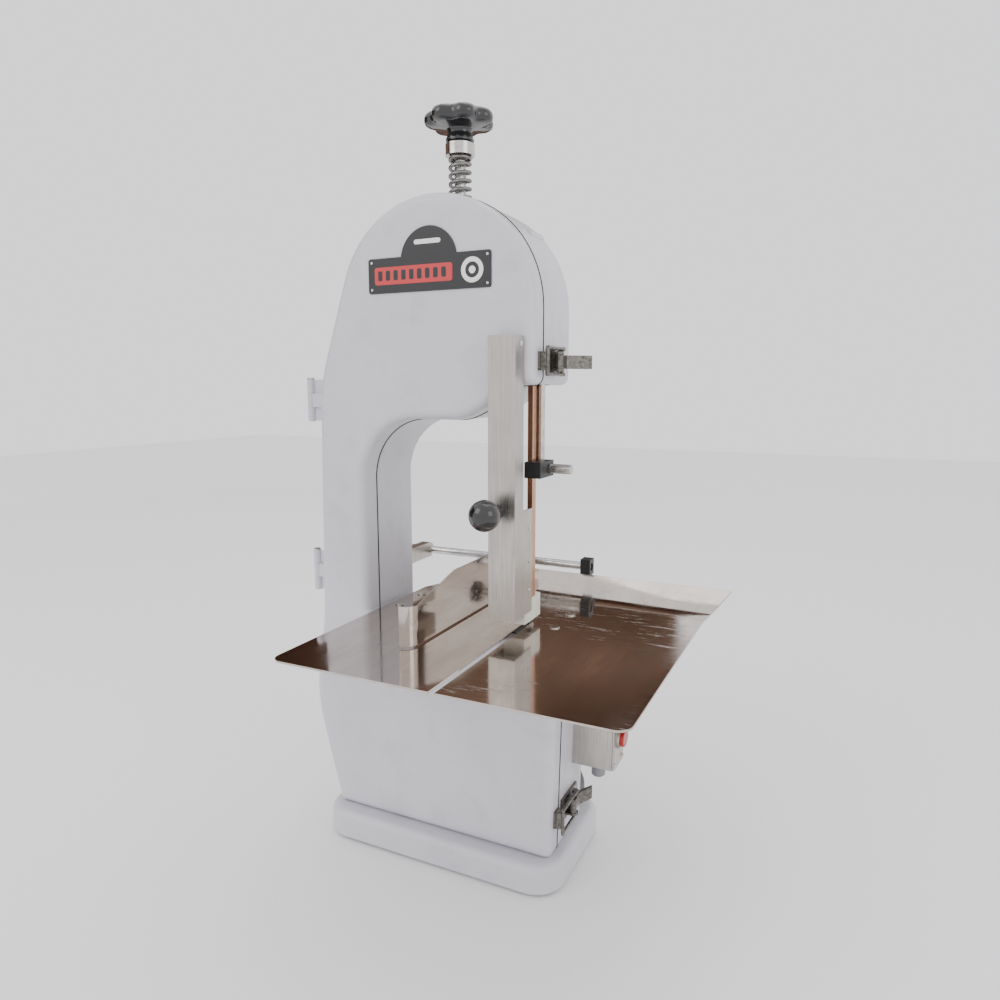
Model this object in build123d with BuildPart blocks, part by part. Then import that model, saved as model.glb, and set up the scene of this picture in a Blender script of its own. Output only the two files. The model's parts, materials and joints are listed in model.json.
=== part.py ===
"""Countertop band saw for meat and bone: C-shaped cast body on a plinth, hinged front door,
two wheels carrying a narrow toothed band, steel table with a sliding gauge, and a raising guard."""
import os
from math import acos, asin, cos, degrees, radians, sin, sqrt

from build123d import *

os.makedirs("parts", exist_ok=True)

# Millimetres. X runs to the operator's right, Y from front to back, Z up.
# The origin is on the counter, under the middle of the plinth.

# Band and wheels
wheel_diameter = 210
wheel_width = 22
wheel_distance = 495
drive_height = 176
wheel_plane = -25
band_width = 16
band_thickness = 0.6
band_clearance = 0.3
wheel_gap = 2.5

# Body: casting and door share one outline
shell_wall = 5
door_wall = 4
door_depth = 28
door_round = 11
seam_gap = 8
rear_depth = 37.5
wheel_room = 17
column_top_width = 64
column_width = 73
belly = 18
foot_inset = 20
lower_side = 51
side_taper = 6
throat_radius = 75
throat_drop = 5
sill_clearance = 19
ledge_drop = 83
cover_thickness = 3

# Plinth and feet
base_width = 330
base_depth = 184
base_height = 39
base_wall = 9
base_round = 38
foot_height = 3
foot_diameter = 44
foot_pad_rim = 5
bolt_spacing_x = 250
bolt_spacing_y = 116
counter_bolt_hole = 9
frame_bolt_inset = 45
frame_bolt_lead = 17

# Motor
motor_diameter = 150
motor_length = 80
motor_wall = 10
shaft_diameter = 20
bearing_diameter = 47
bearing_width = 14
fit = 0.02
running_fit = 0.05
slide_fit = 0.1
clearance = 0.5

# Tension gear
screw_diameter = 14
screw_offset = 9.5
carriage_width = 56
carriage_height = 76
carriage_travel = 10
tongue = 6
spring_diameter = 28
spring_wire = 4
spring_turns = 5.5
spring_boss = 4
spring_length = 51
collar_diameter = 34
collar_height = 15
tension_knob_diameter = 85
tension_knob_height = 22
tension_knob_lobes = 6
tension_neck_diameter = 36
tension_neck_height = 12

# Table
table_thickness = 2
table_gap = 7
table_throat_gap = 6
table_right = 290
table_front = -252
table_bend = 78
table_back = 143
table_rise = 21
table_flare = 21
table_corner = 14
blade_slot = 7
rail_width = 24
rail_left_inset = 21
rail_right_inset = 18
table_trim = 20
table_notch = 35

# Gauge
gauge_x = 27
gauge_thickness = 1.5
gauge_front = -167
gauge_low = 46
gauge_high = 66
gauge_lip = 15
rod_diameter = 11
rod_gap = 8
rod_overhang = 79
rod_right = 120
hub_width = 28
hub_wall = 5.5

# Guard and upper guide
guard_width = 32
guard_depth = 22
guard_wall = 1.5
guard_lift = 80
guard_overlap = 52
guard_floor = 22
shroud_height = 120
shroud_depth = 51
ball_diameter = 34
ball_reach = 30
guide_height = 17
post_width = 8
post_offset = 2.5
bracket_wall = 1.3
rim_gap = 1.5
guard_shift = 4.6
post_depth = 11
guide_bar_width = 6
guide_bar_depth = 10
block_height = 18
lock_screw_diameter = 11

# Hinges and latches
hinge_offset = 7
hinge_knuckle = 7
hinge_pin = 6
hinge_height = 52
hinge_leaf = 3
hinge_leaf_reach = 7
hinge_rise = 46
hinge_drop = 102
latch_width = 28
latch_wire = 4
latch_plate = 3

# Switch box
box_height = 100
box_depth = 40
box_width = 47
box_wall = 2
box_floor = 130
button_diameter = 22
button_travel = 3.5

# Worked out from the driving dimensions
wheel_radius = wheel_diameter / 2
upper_z = drive_height + wheel_distance
head_radius = wheel_radius + wheel_room + shell_wall
wheel_front = wheel_plane - wheel_width / 2
wheel_back = wheel_plane + wheel_width / 2
seam = wheel_front - seam_gap
door_face = seam - door_depth
web_front = wheel_back + wheel_gap
web_rear = web_front + shell_wall
casting_rear = web_rear + rear_depth
back_plate = casting_rear + cover_thickness
throat_x = -(wheel_radius - 4 - shell_wall)
throat_top = upper_z - wheel_radius - wheel_room
sill = drive_height + wheel_radius + sill_clearance
ledge = upper_z - ledge_drop
head_top = upper_z + head_radius
blade_x = wheel_radius + band_clearance + band_thickness / 2
table_top = sill + table_gap + table_thickness
table_under = sill + table_gap
screw_y = web_rear + screw_offset
lower_right = wheel_radius + lower_side
table_left = throat_x + table_throat_gap
gauge_step = door_face
rod_y = table_back + rod_gap
rod_left = throat_x - rod_overhang
box_reach = lower_right + box_width
spring_base = head_top + spring_boss
spring_top = spring_base + spring_length
guard_left = blade_x - guard_width / 2 - guard_shift
guard_right = guard_left + guard_width
bar_right = guard_right - 2 * guard_wall
bar_left = bar_right - guide_bar_width
post_left = bar_left + post_offset


def front_of(y):
    """Upright plane at depth y that faces the operator: local x is X, local y is Z."""
    return Plane.XZ.offset(-y)


def back_of(y):
    """Upright plane at depth y that faces away: local x is minus X, local y is Z."""
    return Plane((0, y, 0), x_dir=(-1, 0, 0), z_dir=(0, 1, 0))


def right_of(x):
    """Upright plane at x that faces right: local x is Y, local y is Z."""
    return Plane.YZ.offset(x)


def save(name, piece):
    """Label a finished piece and write it under its own name."""
    piece.label = name
    export_step(piece, f"parts/{name}.step")


def side_x(z):
    """X of the lower body's leaning right side at height z."""
    return lower_right - side_taper * (sill - z) / (sill - base_height)


def body_outline():
    """The C-shaped outline that door and casting share, throat open to the right."""
    sweep = 161.5
    arch_end = (head_radius * cos(radians(sweep)), upper_z + head_radius * sin(radians(sweep)))
    flank = head_radius
    shoulder = (arch_end[0] - flank * sin(radians(sweep)), arch_end[1] + flank * cos(radians(sweep)))
    waist = (throat_x - column_width, sill - sill_clearance + 7)
    belly_point = (throat_x - column_width - belly, drive_height + 9)
    foot_left = (throat_x - column_width + foot_inset, base_height)
    foot_right = (side_x(base_height), base_height)
    lip_x = sqrt(head_radius**2 - (upper_z - throat_top) ** 2)
    lip_angle = -degrees(acos(lip_x / head_radius))
    ledge_angle = -degrees(asin(ledge_drop / head_radius))
    ledge_x = head_radius * cos(radians(ledge_angle))
    with BuildSketch() as outline:
        with BuildLine():
            CenterArc((0, upper_z), head_radius, 0, sweep)
            FilletPolyline(
                arch_end,
                shoulder,
                waist,
                belly_point,
                foot_left,
                foot_right,
                (lower_right, sill),
                (throat_x, sill),
                (throat_x, throat_top),
                (lip_x, throat_top),
                radius=[200, 300, 200, 6, 6, 10, 8, throat_radius],
            )
            CenterArc((0, upper_z), head_radius, lip_angle, ledge_angle - lip_angle)
            FilletPolyline(
                (ledge_x, ledge),
                (head_radius, ledge),
                (head_radius, upper_z),
                radius=10,
            )
        make_face()
        fillet(outline.vertices().sort_by_distance((lip_x, throat_top))[0], 40)
        fillet(outline.vertices().sort_by_distance((ledge_x, ledge))[0], 14)
    return outline.sketch


outline = body_outline()


# Door ---------------------------------------------------------------------------------------

with BuildPart() as door_hollow:
    with BuildSketch(front_of(seam)):
        add(outline)
        offset(amount=-door_wall)
    extrude(amount=door_depth - door_wall)
    fillet(door_hollow.faces().sort_by(Axis.Y)[0].edges(), door_round - door_wall)

with BuildPart() as front_door:
    with BuildSketch(front_of(seam)):
        add(outline)
    extrude(amount=door_depth)
    fillet(front_door.faces().sort_by(Axis.Y)[0].edges(), door_round)
    add(door_hollow.part, mode=Mode.SUBTRACT)
save("front_door", front_door.part)


# Casting ------------------------------------------------------------------------------------

cover_screws_at = [
    (-head_radius + 38, head_top - 42),
    (head_radius - 38, head_top - 42),
    (head_radius - 16, ledge + 14),
    (throat_x - column_width + 24, ledge - 20),
    (throat_x - column_width + 16, sill + 110),
    (throat_x - column_width + 20, base_height + 76),
    (lower_right - 17, sill - 16),
    (lower_right - 28, base_height + 16),
    (throat_x - column_width + 44, base_height + 16),
]
cover_screw = 5
boss_diameter = 14
frame_bolt = 8
bolt_reach = base_width / 2 - frame_bolt_inset
frame_bolts_at = [(x, y) for x in (-bolt_reach, bolt_reach)
                  for y in (web_front - frame_bolt_lead, web_rear + frame_bolt_lead)]
axle_slot_width = 26
axle_slot_height = 26 + 2 * carriage_travel
rim_slot = (blade_x - 10, post_left + post_width + bracket_wall + rim_gap)

with BuildPart() as main_casting:
    with BuildSketch(front_of(casting_rear)):
        add(outline)
    extrude(amount=casting_rear - seam)
    with BuildSketch(front_of(seam)):
        add(outline)
        offset(amount=-shell_wall)
    extrude(amount=seam - web_front, mode=Mode.SUBTRACT)
    with BuildSketch(front_of(casting_rear)):
        add(outline)
        offset(amount=-shell_wall)
    extrude(amount=rear_depth, mode=Mode.SUBTRACT)
    # Bosses for the rear cover's screws, and their tapped holes
    with BuildSketch(front_of(casting_rear)):
        with Locations(*cover_screws_at):
            Circle(boss_diameter / 2)
    extrude(amount=rear_depth)
    with BuildSketch(front_of(casting_rear)):
        with Locations(*cover_screws_at):
            Circle(cover_screw / 2)
    extrude(amount=14, mode=Mode.SUBTRACT)
    # Slot for the upper axle and register for the motor's front bell
    with BuildSketch(front_of(web_rear)):
        with Locations((0, upper_z)):
            SlotOverall(axle_slot_height, axle_slot_width, rotation=90)
        with Locations((0, drive_height)):
            Circle(motor_diameter / 2 - 22)
    extrude(amount=shell_wall, mode=Mode.SUBTRACT)
    # Mouths for the band and the guide bars, open at the seam
    mouth_depth = web_front - seam
    with BuildSketch(Plane.XY.offset(throat_top)):
        with Locations(((rim_slot[0] + rim_slot[1]) / 2, seam)):
            Rectangle(rim_slot[1] - rim_slot[0], mouth_depth, align=(Align.CENTER, Align.MIN))
    extrude(amount=ledge - throat_top + shell_wall + 4, mode=Mode.SUBTRACT)
    with BuildSketch(Plane.XY.offset(sill - shell_wall - 1)):
        with Locations((blade_x, seam)):
            Rectangle(blade_slot, mouth_depth, align=(Align.CENTER, Align.MIN))
    extrude(amount=shell_wall + 2, mode=Mode.SUBTRACT)
    # Boss under the tension spring, and the hole for the tension screw
    with BuildSketch(Plane.XY.offset(head_top - shell_wall)):
        with Locations((0, screw_y)):
            Circle(spring_diameter / 2 + 1)
    extrude(amount=shell_wall + spring_boss)
    with BuildSketch(Plane.XY.offset(head_top - shell_wall - 1)):
        with Locations((0, screw_y)):
            Circle(screw_diameter / 2 + clearance)
    extrude(amount=shell_wall + spring_boss + 2, mode=Mode.SUBTRACT)
    # Frame bolt holes
    with BuildSketch(Plane.XY.offset(base_height)):
        with Locations(*frame_bolts_at):
            Circle(frame_bolt / 2)
    extrude(amount=shell_wall, mode=Mode.SUBTRACT)
save("main_casting", main_casting.part)


def socket_screws(plane, points, size, length):
    """Socket-head screws at points of a plane, heads standing on it and shanks sunk into it."""
    with BuildPart() as group:
        with BuildSketch(plane):
            with Locations(*points):
                Circle(size * 0.8)
        extrude(amount=size * 0.8)
        with BuildSketch(plane):
            with Locations(*points):
                Circle(size / 2)
        extrude(amount=-length)
        with BuildSketch(plane.offset(size * 0.8)):
            with Locations(*points):
                RegularPolygon(size * 0.42, 6)
        extrude(amount=-size * 0.45, mode=Mode.SUBTRACT)
    return group.part


# Rear cover and motor cover -----------------------------------------------------------------

motor_radius = motor_diameter / 2
cover_margin = 6
cowl_half_width = 142
cowl_shoulder = 88
cowl_depth = 54
cowl_wall = 2.5
cowl_screws_at = [(x, z) for x in (-112, 112) for z in (base_height + 22,)] + [(0, sill - 16)]

with BuildPart() as rear_cover:
    with BuildSketch(front_of(back_plate)):
        add(outline)
        with Locations((0, drive_height)):
            Circle(motor_radius + cover_margin, mode=Mode.SUBTRACT)
        with Locations(*cover_screws_at, *cowl_screws_at):
            Circle(cover_screw / 2 + clearance / 2, mode=Mode.SUBTRACT)
    extrude(amount=cover_thickness)
save("rear_cover", rear_cover.part)

save("cover_screws", socket_screws(back_of(back_plate), [(-x, z) for x, z in cover_screws_at], cover_screw, 14))


def cowl_outline(inset=0):
    """Outline of the motor cover: a skirt that leans in to a round crown over the motor."""
    crown = motor_radius + 16
    with BuildSketch() as cowl:
        with BuildLine():
            Polyline(
                (-crown, drive_height),
                (-cowl_half_width, base_height + 24),
                (-cowl_half_width, base_height),
                (cowl_half_width, base_height),
                (cowl_half_width, base_height + 24),
                (crown, drive_height),
            )
            CenterArc((0, drive_height), crown, 0, 180)
        make_face()
        fillet(cowl.vertices().sort_by_distance((-cowl_half_width, base_height + 24))[0], 30)
        fillet(cowl.vertices().sort_by_distance((cowl_half_width, base_height + 24))[0], 30)
        if inset:
            offset(amount=-inset)
    return cowl.sketch


with BuildPart() as cowl_hollow:
    with BuildSketch(back_of(back_plate)):
        add(cowl_outline(cowl_wall))
    extrude(amount=cowl_depth - cowl_wall)
    fillet(cowl_hollow.faces().sort_by(Axis.Y)[-1].edges(), 9)

with BuildPart() as motor_cover:
    with BuildSketch(back_of(back_plate)):
        add(cowl_outline())
    extrude(amount=cowl_depth)
    fillet(motor_cover.faces().sort_by(Axis.Y)[-1].edges(), 9 + cowl_wall)
    add(cowl_hollow.part, mode=Mode.SUBTRACT)
    # Louvres over the fan
    with BuildSketch(back_of(back_plate + cowl_depth)):
        with Locations((0, drive_height)):
            with GridLocations(0, 13, 1, 7):
                SlotOverall(96, 5)
    extrude(amount=-2 * cowl_wall, mode=Mode.SUBTRACT)
save("motor_cover", motor_cover.part)

# Plinth and feet ----------------------------------------------------------------------------

bolts_at = [(x, y) for x in (-bolt_spacing_x / 2, bolt_spacing_x / 2)
            for y in (-bolt_spacing_y / 2, bolt_spacing_y / 2)]

with BuildPart() as base_plinth:
    with BuildSketch(Plane.XY.offset(foot_height)):
        RectangleRounded(base_width, base_depth, base_round)
    extrude(amount=base_height - foot_height)
    fillet(base_plinth.faces().sort_by(Axis.Z)[-1].edges(), 9)
    fillet(base_plinth.faces().sort_by(Axis.Z)[0].edges(), 5)
    with BuildSketch(Plane.XY.offset(foot_height)):
        RectangleRounded(base_width - 2 * base_wall, base_depth - 2 * base_wall, base_round - base_wall)
        with Locations(*bolts_at):
            Circle(foot_diameter / 2 + foot_pad_rim, mode=Mode.SUBTRACT)
        with Locations(*frame_bolts_at):
            Circle(frame_bolt + 5, mode=Mode.SUBTRACT)
    extrude(amount=base_height - foot_height - base_wall, mode=Mode.SUBTRACT)
    with BuildSketch(Plane.XY.offset(foot_height)):
        with Locations(*bolts_at):
            Circle(counter_bolt_hole / 2)
        with Locations(*frame_bolts_at):
            Circle(frame_bolt / 2 + clearance / 2)
    extrude(amount=base_height, mode=Mode.SUBTRACT)
save("base_plinth", base_plinth.part)

with BuildPart() as rubber_feet:
    with BuildSketch():
        with Locations(*bolts_at):
            Circle(foot_diameter / 2)
            Circle(counter_bolt_hole / 2, mode=Mode.SUBTRACT)
    extrude(amount=foot_height)
save("rubber_feet", rubber_feet.part)

with BuildPart() as frame_bolts:
    with BuildSketch(Plane.XY.offset(foot_height)):
        with Locations(*frame_bolts_at):
            RegularPolygon(frame_bolt * 0.9, 6)
    extrude(amount=-foot_height * 0.6)
    with BuildSketch(Plane.XY.offset(foot_height)):
        with Locations(*frame_bolts_at):
            Circle(frame_bolt / 2)
    extrude(amount=base_height + shell_wall - foot_height + 4)
save("frame_bolts", frame_bolts.part)

# Motor --------------------------------------------------------------------------------------

shaft_radius = shaft_diameter / 2
bearing_radius = bearing_diameter / 2
bell = bearing_width + 2
motor_back = web_rear + motor_length
front_bearing = web_rear + 1
rear_bearing = motor_back - 1 - bearing_width
core_radius = motor_radius - motor_wall - 12


def ring(y, length, outer, inner, z=drive_height):
    """A plain ring about a wheel axis, from depth y towards the back."""
    with BuildPart() as piece:
        with BuildSketch(back_of(y)):
            with Locations((0, z)):
                Circle(outer)
                Circle(inner, mode=Mode.SUBTRACT)
        extrude(amount=length)
    return piece.part


with BuildPart() as motor_housing:
    with BuildSketch(back_of(web_rear + bell)):
        with Locations((0, drive_height)):
            Circle(motor_radius - 4)
            with PolarLocations(motor_radius - 3, 24):
                Rectangle(6, 2.4)
            Circle(core_radius, mode=Mode.SUBTRACT)
    extrude(amount=motor_length - 2 * bell)
save("motor_housing", motor_housing.part)

with BuildPart() as motor_bells:
    add(ring(web_rear, bell, motor_radius, bearing_radius + fit))
    add(ring(motor_back - bell, bell, motor_radius, bearing_radius + fit))
save("motor_bells", motor_bells.part)

with BuildPart() as motor_bearings:
    for start in (front_bearing, rear_bearing):
        add(ring(start, bearing_width, bearing_radius, shaft_radius + running_fit))
save("motor_bearings", motor_bearings.part)

with BuildPart() as motor_rotor:
    with BuildSketch(back_of(wheel_front - 6)):
        with Locations((0, drive_height)):
            Circle(shaft_radius)
    extrude(amount=motor_back + 9 - wheel_front + 6)
    with BuildSketch(back_of(web_rear + bell + 8)):
        with Locations((0, drive_height)):
            Circle(core_radius - clearance)
    extrude(amount=motor_length - 2 * bell - 16)
save("motor_rotor", motor_rotor.part)

fan_thickness = 7

with BuildPart() as cooling_fan:
    with BuildSketch(back_of(motor_back + 1.5)):
        with Locations((0, drive_height)):
            Circle(motor_radius - 24)
            Circle(shaft_radius + fit, mode=Mode.SUBTRACT)
    extrude(amount=2)
    with BuildSketch(back_of(motor_back + 3.5)):
        with Locations((0, drive_height)):
            with PolarLocations(motor_radius - 44, 9):
                Rectangle(36, 2)
            Circle(shaft_radius + 4)
            Circle(shaft_radius + fit, mode=Mode.SUBTRACT)
    extrude(amount=fan_thickness - 2)
save("cooling_fan", cooling_fan.part)

# Wheels -------------------------------------------------------------------------------------


def spoked_wheel(z, bore):
    """A cast band wheel: rim, thin web with five holes, and a hub."""
    with BuildPart() as wheel:
        with BuildSketch(front_of(wheel_back)):
            with Locations((0, z)):
                Circle(wheel_radius)
                Circle(bore, mode=Mode.SUBTRACT)
        extrude(amount=wheel_width)
        for face, sign in ((wheel_front, 1), (wheel_back, -1)):
            with BuildSketch(back_of(face)):
                with Locations((0, z)):
                    Circle(wheel_radius - 9)
                    Circle(bearing_radius + 8, mode=Mode.SUBTRACT)
            extrude(amount=sign * (wheel_width - 7) / 2, mode=Mode.SUBTRACT)
        with BuildSketch(back_of(wheel_front)):
            with Locations((0, z)):
                with PolarLocations((wheel_radius - 9 + bearing_radius + 8) / 2, 5, start_angle=90):
                    Circle(17)
        extrude(amount=wheel_width, mode=Mode.SUBTRACT)
    return wheel.part


save("lower_wheel", spoked_wheel(drive_height, shaft_radius + fit))
save("upper_wheel", spoked_wheel(upper_z, bearing_radius + fit))

nut_height = 5.5

with BuildPart() as wheel_nut:
    with BuildSketch(front_of(wheel_front)):
        with Locations((0, drive_height)):
            RegularPolygon(shaft_radius + 6, 6)
            Circle(shaft_radius + fit, mode=Mode.SUBTRACT)
    extrude(amount=nut_height)
save("wheel_nut", wheel_nut.part)

save("upper_bearings", ring(wheel_plane - bearing_width / 2, bearing_width, bearing_radius,
                            shaft_radius + running_fit, upper_z))

with BuildPart() as saw_blade:
    with BuildSketch(front_of(wheel_plane + band_width / 2)):
        with Locations((0, (drive_height + upper_z) / 2)):
            outer = wheel_radius + band_clearance + band_thickness
            SlotCenterToCenter(wheel_distance, 2 * outer, rotation=90)
            SlotCenterToCenter(wheel_distance, 2 * (outer - band_thickness), rotation=90, mode=Mode.SUBTRACT)
    extrude(amount=band_width)
save("saw_blade", saw_blade.part)

# Tension gear -------------------------------------------------------------------------------

carriage_front = web_rear + slide_fit
carriage_depth = rear_depth - 8
rail_reach = 12
tongue_depth = 8
rail_height = carriage_height + 2 * carriage_travel + 20

with BuildPart() as tension_carriage:
    with BuildSketch(back_of(carriage_front)):
        with Locations((0, upper_z)):
            Rectangle(carriage_width, carriage_height)
    extrude(amount=carriage_depth)
    with BuildSketch(back_of(carriage_front)):
        with Locations((0, upper_z)):
            Rectangle(carriage_width + 2 * tongue, carriage_height)
    extrude(amount=tongue_depth)
    with BuildSketch(back_of(carriage_front)):
        with Locations((0, upper_z)):
            Circle(shaft_radius + fit)
    extrude(amount=carriage_depth, mode=Mode.SUBTRACT)
    with BuildSketch(Plane.XY.offset(upper_z + carriage_height / 2)):
        with Locations((0, screw_y)):
            Circle(screw_diameter / 2 + fit)
    extrude(amount=-18, mode=Mode.SUBTRACT)
save("tension_carriage", tension_carriage.part)

with BuildPart() as carriage_rails:
    for side in (-1, 1):
        tongue_end = carriage_width / 2 + tongue + slide_fit
        lip_end = carriage_width / 2 + slide_fit
        with BuildSketch(back_of(web_rear)):
            with Locations((side * tongue_end, upper_z - carriage_travel / 2)):
                keep = Align.MIN if side > 0 else Align.MAX
                Rectangle(rail_reach, rail_height, align=(keep, Align.CENTER))
        extrude(amount=tongue_depth + 2 * slide_fit)
        with BuildSketch(back_of(web_rear + tongue_depth + 2 * slide_fit)):
            with Locations((side * lip_end, upper_z - carriage_travel / 2)):
                Rectangle(rail_reach + tongue, rail_height, align=(keep, Align.CENTER))
        extrude(amount=6)
save("carriage_rails", carriage_rails.part)

with BuildPart() as wheel_axle:
    with BuildSketch(back_of(wheel_plane - bearing_width / 2 - 6)):
        with Locations((0, upper_z)):
            Circle(shaft_radius)
    extrude(amount=carriage_front + carriage_depth - wheel_plane + bearing_width / 2 + 6)
    with BuildSketch(back_of(wheel_plane + bearing_width / 2 + slide_fit)):
        with Locations((0, upper_z)):
            Circle(shaft_radius + 2.5)
    extrude(amount=carriage_front - wheel_plane - bearing_width / 2 - slide_fit)
save("wheel_axle", wheel_axle.part)

screw_bottom = upper_z + carriage_height / 2 - 18
collar_base = spring_top
collar_top = collar_base + collar_height
knob_base = collar_top + clearance
screw_top = knob_base + tension_neck_height + 10
pitch = 2

with BuildPart() as tension_screw:
    with BuildSketch(Plane.XY.offset(screw_bottom)):
        with Locations((0, screw_y)):
            Circle(screw_diameter / 2)
    extrude(amount=screw_top - screw_bottom)
    # Thread shown as fine grooves above the casting
    groove_count = int((screw_top - head_top - 20) / (2 * pitch))
    for i in range(groove_count):
        with BuildSketch(Plane.XY.offset(head_top + 14 + i * 2 * pitch)):
            with Locations((0, screw_y)):
                Circle(screw_diameter / 2)
                Circle(screw_diameter / 2 - 0.8, mode=Mode.SUBTRACT)
        extrude(amount=pitch, mode=Mode.SUBTRACT)
save("tension_screw", tension_screw.part)

spring_height = spring_top - spring_base
spring_radius = (spring_diameter - spring_wire) / 2

with BuildPart() as tension_spring:
    with BuildLine(Plane((0, screw_y, spring_base + spring_wire / 2))):
        coil = Helix((spring_height - spring_wire) / spring_turns, spring_height - spring_wire, spring_radius)
    with BuildSketch(Plane(coil @ 0, z_dir=coil % 0)):
        Circle(spring_wire / 2 - 0.1)
    sweep(is_frenet=True)
save("tension_spring", tension_spring.part)

with BuildPart() as tension_collar:
    with BuildSketch(Plane.XY.offset(collar_base)):
        with Locations((0, screw_y)):
            Circle(collar_diameter / 2)
            Circle(screw_diameter / 2 + clearance, mode=Mode.SUBTRACT)
    extrude(amount=collar_height)
    chamfer(tension_collar.faces().sort_by(Axis.Z)[-1].edges().sort_by(SortBy.LENGTH)[-1], 2)
save("tension_collar", tension_collar.part)

with BuildPart() as tension_knob:
    lobe_ring = tension_knob_diameter / 2 - 11
    with BuildSketch(Plane.XY.offset(knob_base)):
        with Locations((0, screw_y)):
            Circle(tension_neck_diameter / 2)
    extrude(amount=tension_neck_height + 4)
    with BuildSketch(Plane.XY.offset(knob_base + tension_neck_height)):
        with Locations((0, screw_y)):
            Circle(lobe_ring + 2)
            with PolarLocations(lobe_ring, tension_knob_lobes, start_angle=15):
                Circle(11)
    extrude(amount=tension_knob_height)
    fillet(tension_knob.faces().sort_by(Axis.Z)[-1].edges(), 6)
    with BuildSketch(Plane.XY.offset(knob_base)):
        with Locations((0, screw_y)):
            Circle(screw_diameter / 2 + running_fit)
    extrude(amount=screw_top - knob_base + clearance, mode=Mode.SUBTRACT)
save("tension_knob", tension_knob.part)

with BuildPart() as lower_blade_guide:
    guide_top = sill - shell_wall
    with BuildSketch(front_of(web_front)):
        with Locations((blade_x, guide_top)):
            Rectangle(18, 12, align=(Align.CENTER, Align.MAX))
    extrude(amount=band_width + 9)
    with BuildSketch(Plane.XY.offset(guide_top)):
        with Locations((blade_x, web_front - band_width - 9)):
            Rectangle(band_thickness + 2 * clearance, band_width + 4, align=(Align.CENTER, Align.MIN))
    extrude(amount=-12, mode=Mode.SUBTRACT)
save("lower_blade_guide", lower_blade_guide.part)

# Table --------------------------------------------------------------------------------------

slot_x = blade_x - 2
trim_y = table_bend - table_trim
rails_at = (throat_x + rail_left_inset, lower_right - rail_right_inset)
table_bolt = 6
table_bolts_at = [(x, y) for x in rails_at for y in (seam + 14, casting_rear - 8)]

with BuildPart() as table_plan:
    with BuildSketch(Plane.XY.offset(sill)):
        with BuildLine():
            Polyline(
                (table_left, trim_y),
                (table_left, table_front),
                (table_right, table_front),
                (table_right, trim_y),
            )
            TangentArc((table_right, trim_y), (table_right + table_flare, table_back), tangent=(0, 1))
            Polyline(
                (table_right + table_flare, table_back),
                (table_left + table_notch, table_back),
                (table_left, trim_y),
            )
        make_face()
    extrude(amount=table_gap + table_thickness + table_rise + 1)
    fillet(table_plan.edges().filter_by(Axis.Z).group_by(Axis.Y)[0], table_corner)

with BuildPart() as table_sheet:
    # Side profile: flat from the front, then swept up to the back
    with BuildSketch(right_of(table_left)):
        with BuildLine():
            back_top = table_top + table_rise
            Line((table_front, table_top), (table_bend, table_top))
            TangentArc((table_bend, table_top), (table_back, back_top), tangent=(1, 0))
            Line((table_back, back_top), (table_back, back_top - table_thickness))
            TangentArc((table_bend, table_under), (table_back, back_top - table_thickness), tangent=(1, 0))
            Polyline((table_bend, table_under), (table_front, table_under), (table_front, table_top))
        make_face()
    extrude(amount=table_right + table_flare - table_left)
    add(table_plan.part, mode=Mode.INTERSECT)
    with BuildSketch(Plane.XY.offset(table_under)):
        with Locations((slot_x, table_front)):
            slot_length = wheel_plane + band_width / 2 + 3 - table_front
            Rectangle(blade_slot, slot_length, align=(Align.CENTER, Align.MIN))
        with Locations(*table_bolts_at):
            Circle(table_bolt / 2 + clearance / 2)
    extrude(amount=table_thickness, mode=Mode.SUBTRACT)
save("table_sheet", table_sheet.part)

with BuildPart() as table_rails:
    with BuildSketch(Plane.XY.offset(sill)):
        with Locations(*[(x, seam + 4) for x in rails_at]):
            Rectangle(rail_width, table_bend - seam - 12, align=(Align.CENTER, Align.MIN))
        with Locations(*table_bolts_at):
            Circle(table_bolt / 2 + clearance / 2, mode=Mode.SUBTRACT)
    extrude(amount=table_gap)
save("table_rails", table_rails.part)

with BuildPart() as table_bolts:
    with BuildSketch(Plane.XY.offset(table_top)):
        with Locations(*table_bolts_at):
            Circle(table_bolt)
    extrude(amount=1.2)
    with BuildSketch(Plane.XY.offset(table_top)):
        with Locations(*table_bolts_at):
            Circle(table_bolt / 2)
    extrude(amount=-(table_thickness + table_gap))
save("table_bolts", table_bolts.part)

# Gauge --------------------------------------------------------------------------------------

rod_z = table_top + 30
rod_radius = rod_diameter / 2
gauge_floor = table_top + 2
hub_radius = rod_radius + hub_wall

with BuildPart() as gauge_rod:
    with BuildSketch(right_of(rod_left)):
        with Locations((rod_y, rod_z)):
            Circle(rod_radius)
    extrude(amount=rod_right - rod_left)
save("gauge_rod", gauge_rod.part)

arm_x = throat_x - column_width + 24
arm_width = 14

with BuildPart() as rod_arm:
    with BuildSketch(right_of(arm_x - arm_width / 2)):
        with Locations((back_plate, rod_z)):
            Rectangle(rod_y - back_plate, 22, align=(Align.MIN, Align.CENTER))
        with Locations((rod_y, rod_z)):
            Circle(11)
            Circle(rod_radius + fit, mode=Mode.SUBTRACT)
    extrude(amount=arm_width)
    with BuildSketch(back_of(back_plate)):
        with Locations((-arm_x, rod_z)):
            RectangleRounded(30, 44, 5)
    extrude(amount=6)
save("rod_arm", rod_arm.part)

with BuildPart() as rod_end:
    with BuildSketch(right_of(rod_right - 12)):
        with Locations((table_back, rod_z)):
            Rectangle(rod_y + rod_radius + 4 - table_back, 22, align=(Align.MIN, Align.CENTER))
        with Locations((rod_y, rod_z)):
            Circle(rod_radius + fit, mode=Mode.SUBTRACT)
    extrude(amount=14)
save("rod_end", rod_end.part)

plate_back = rod_y + hub_radius
gauge_shift = 3

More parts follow.
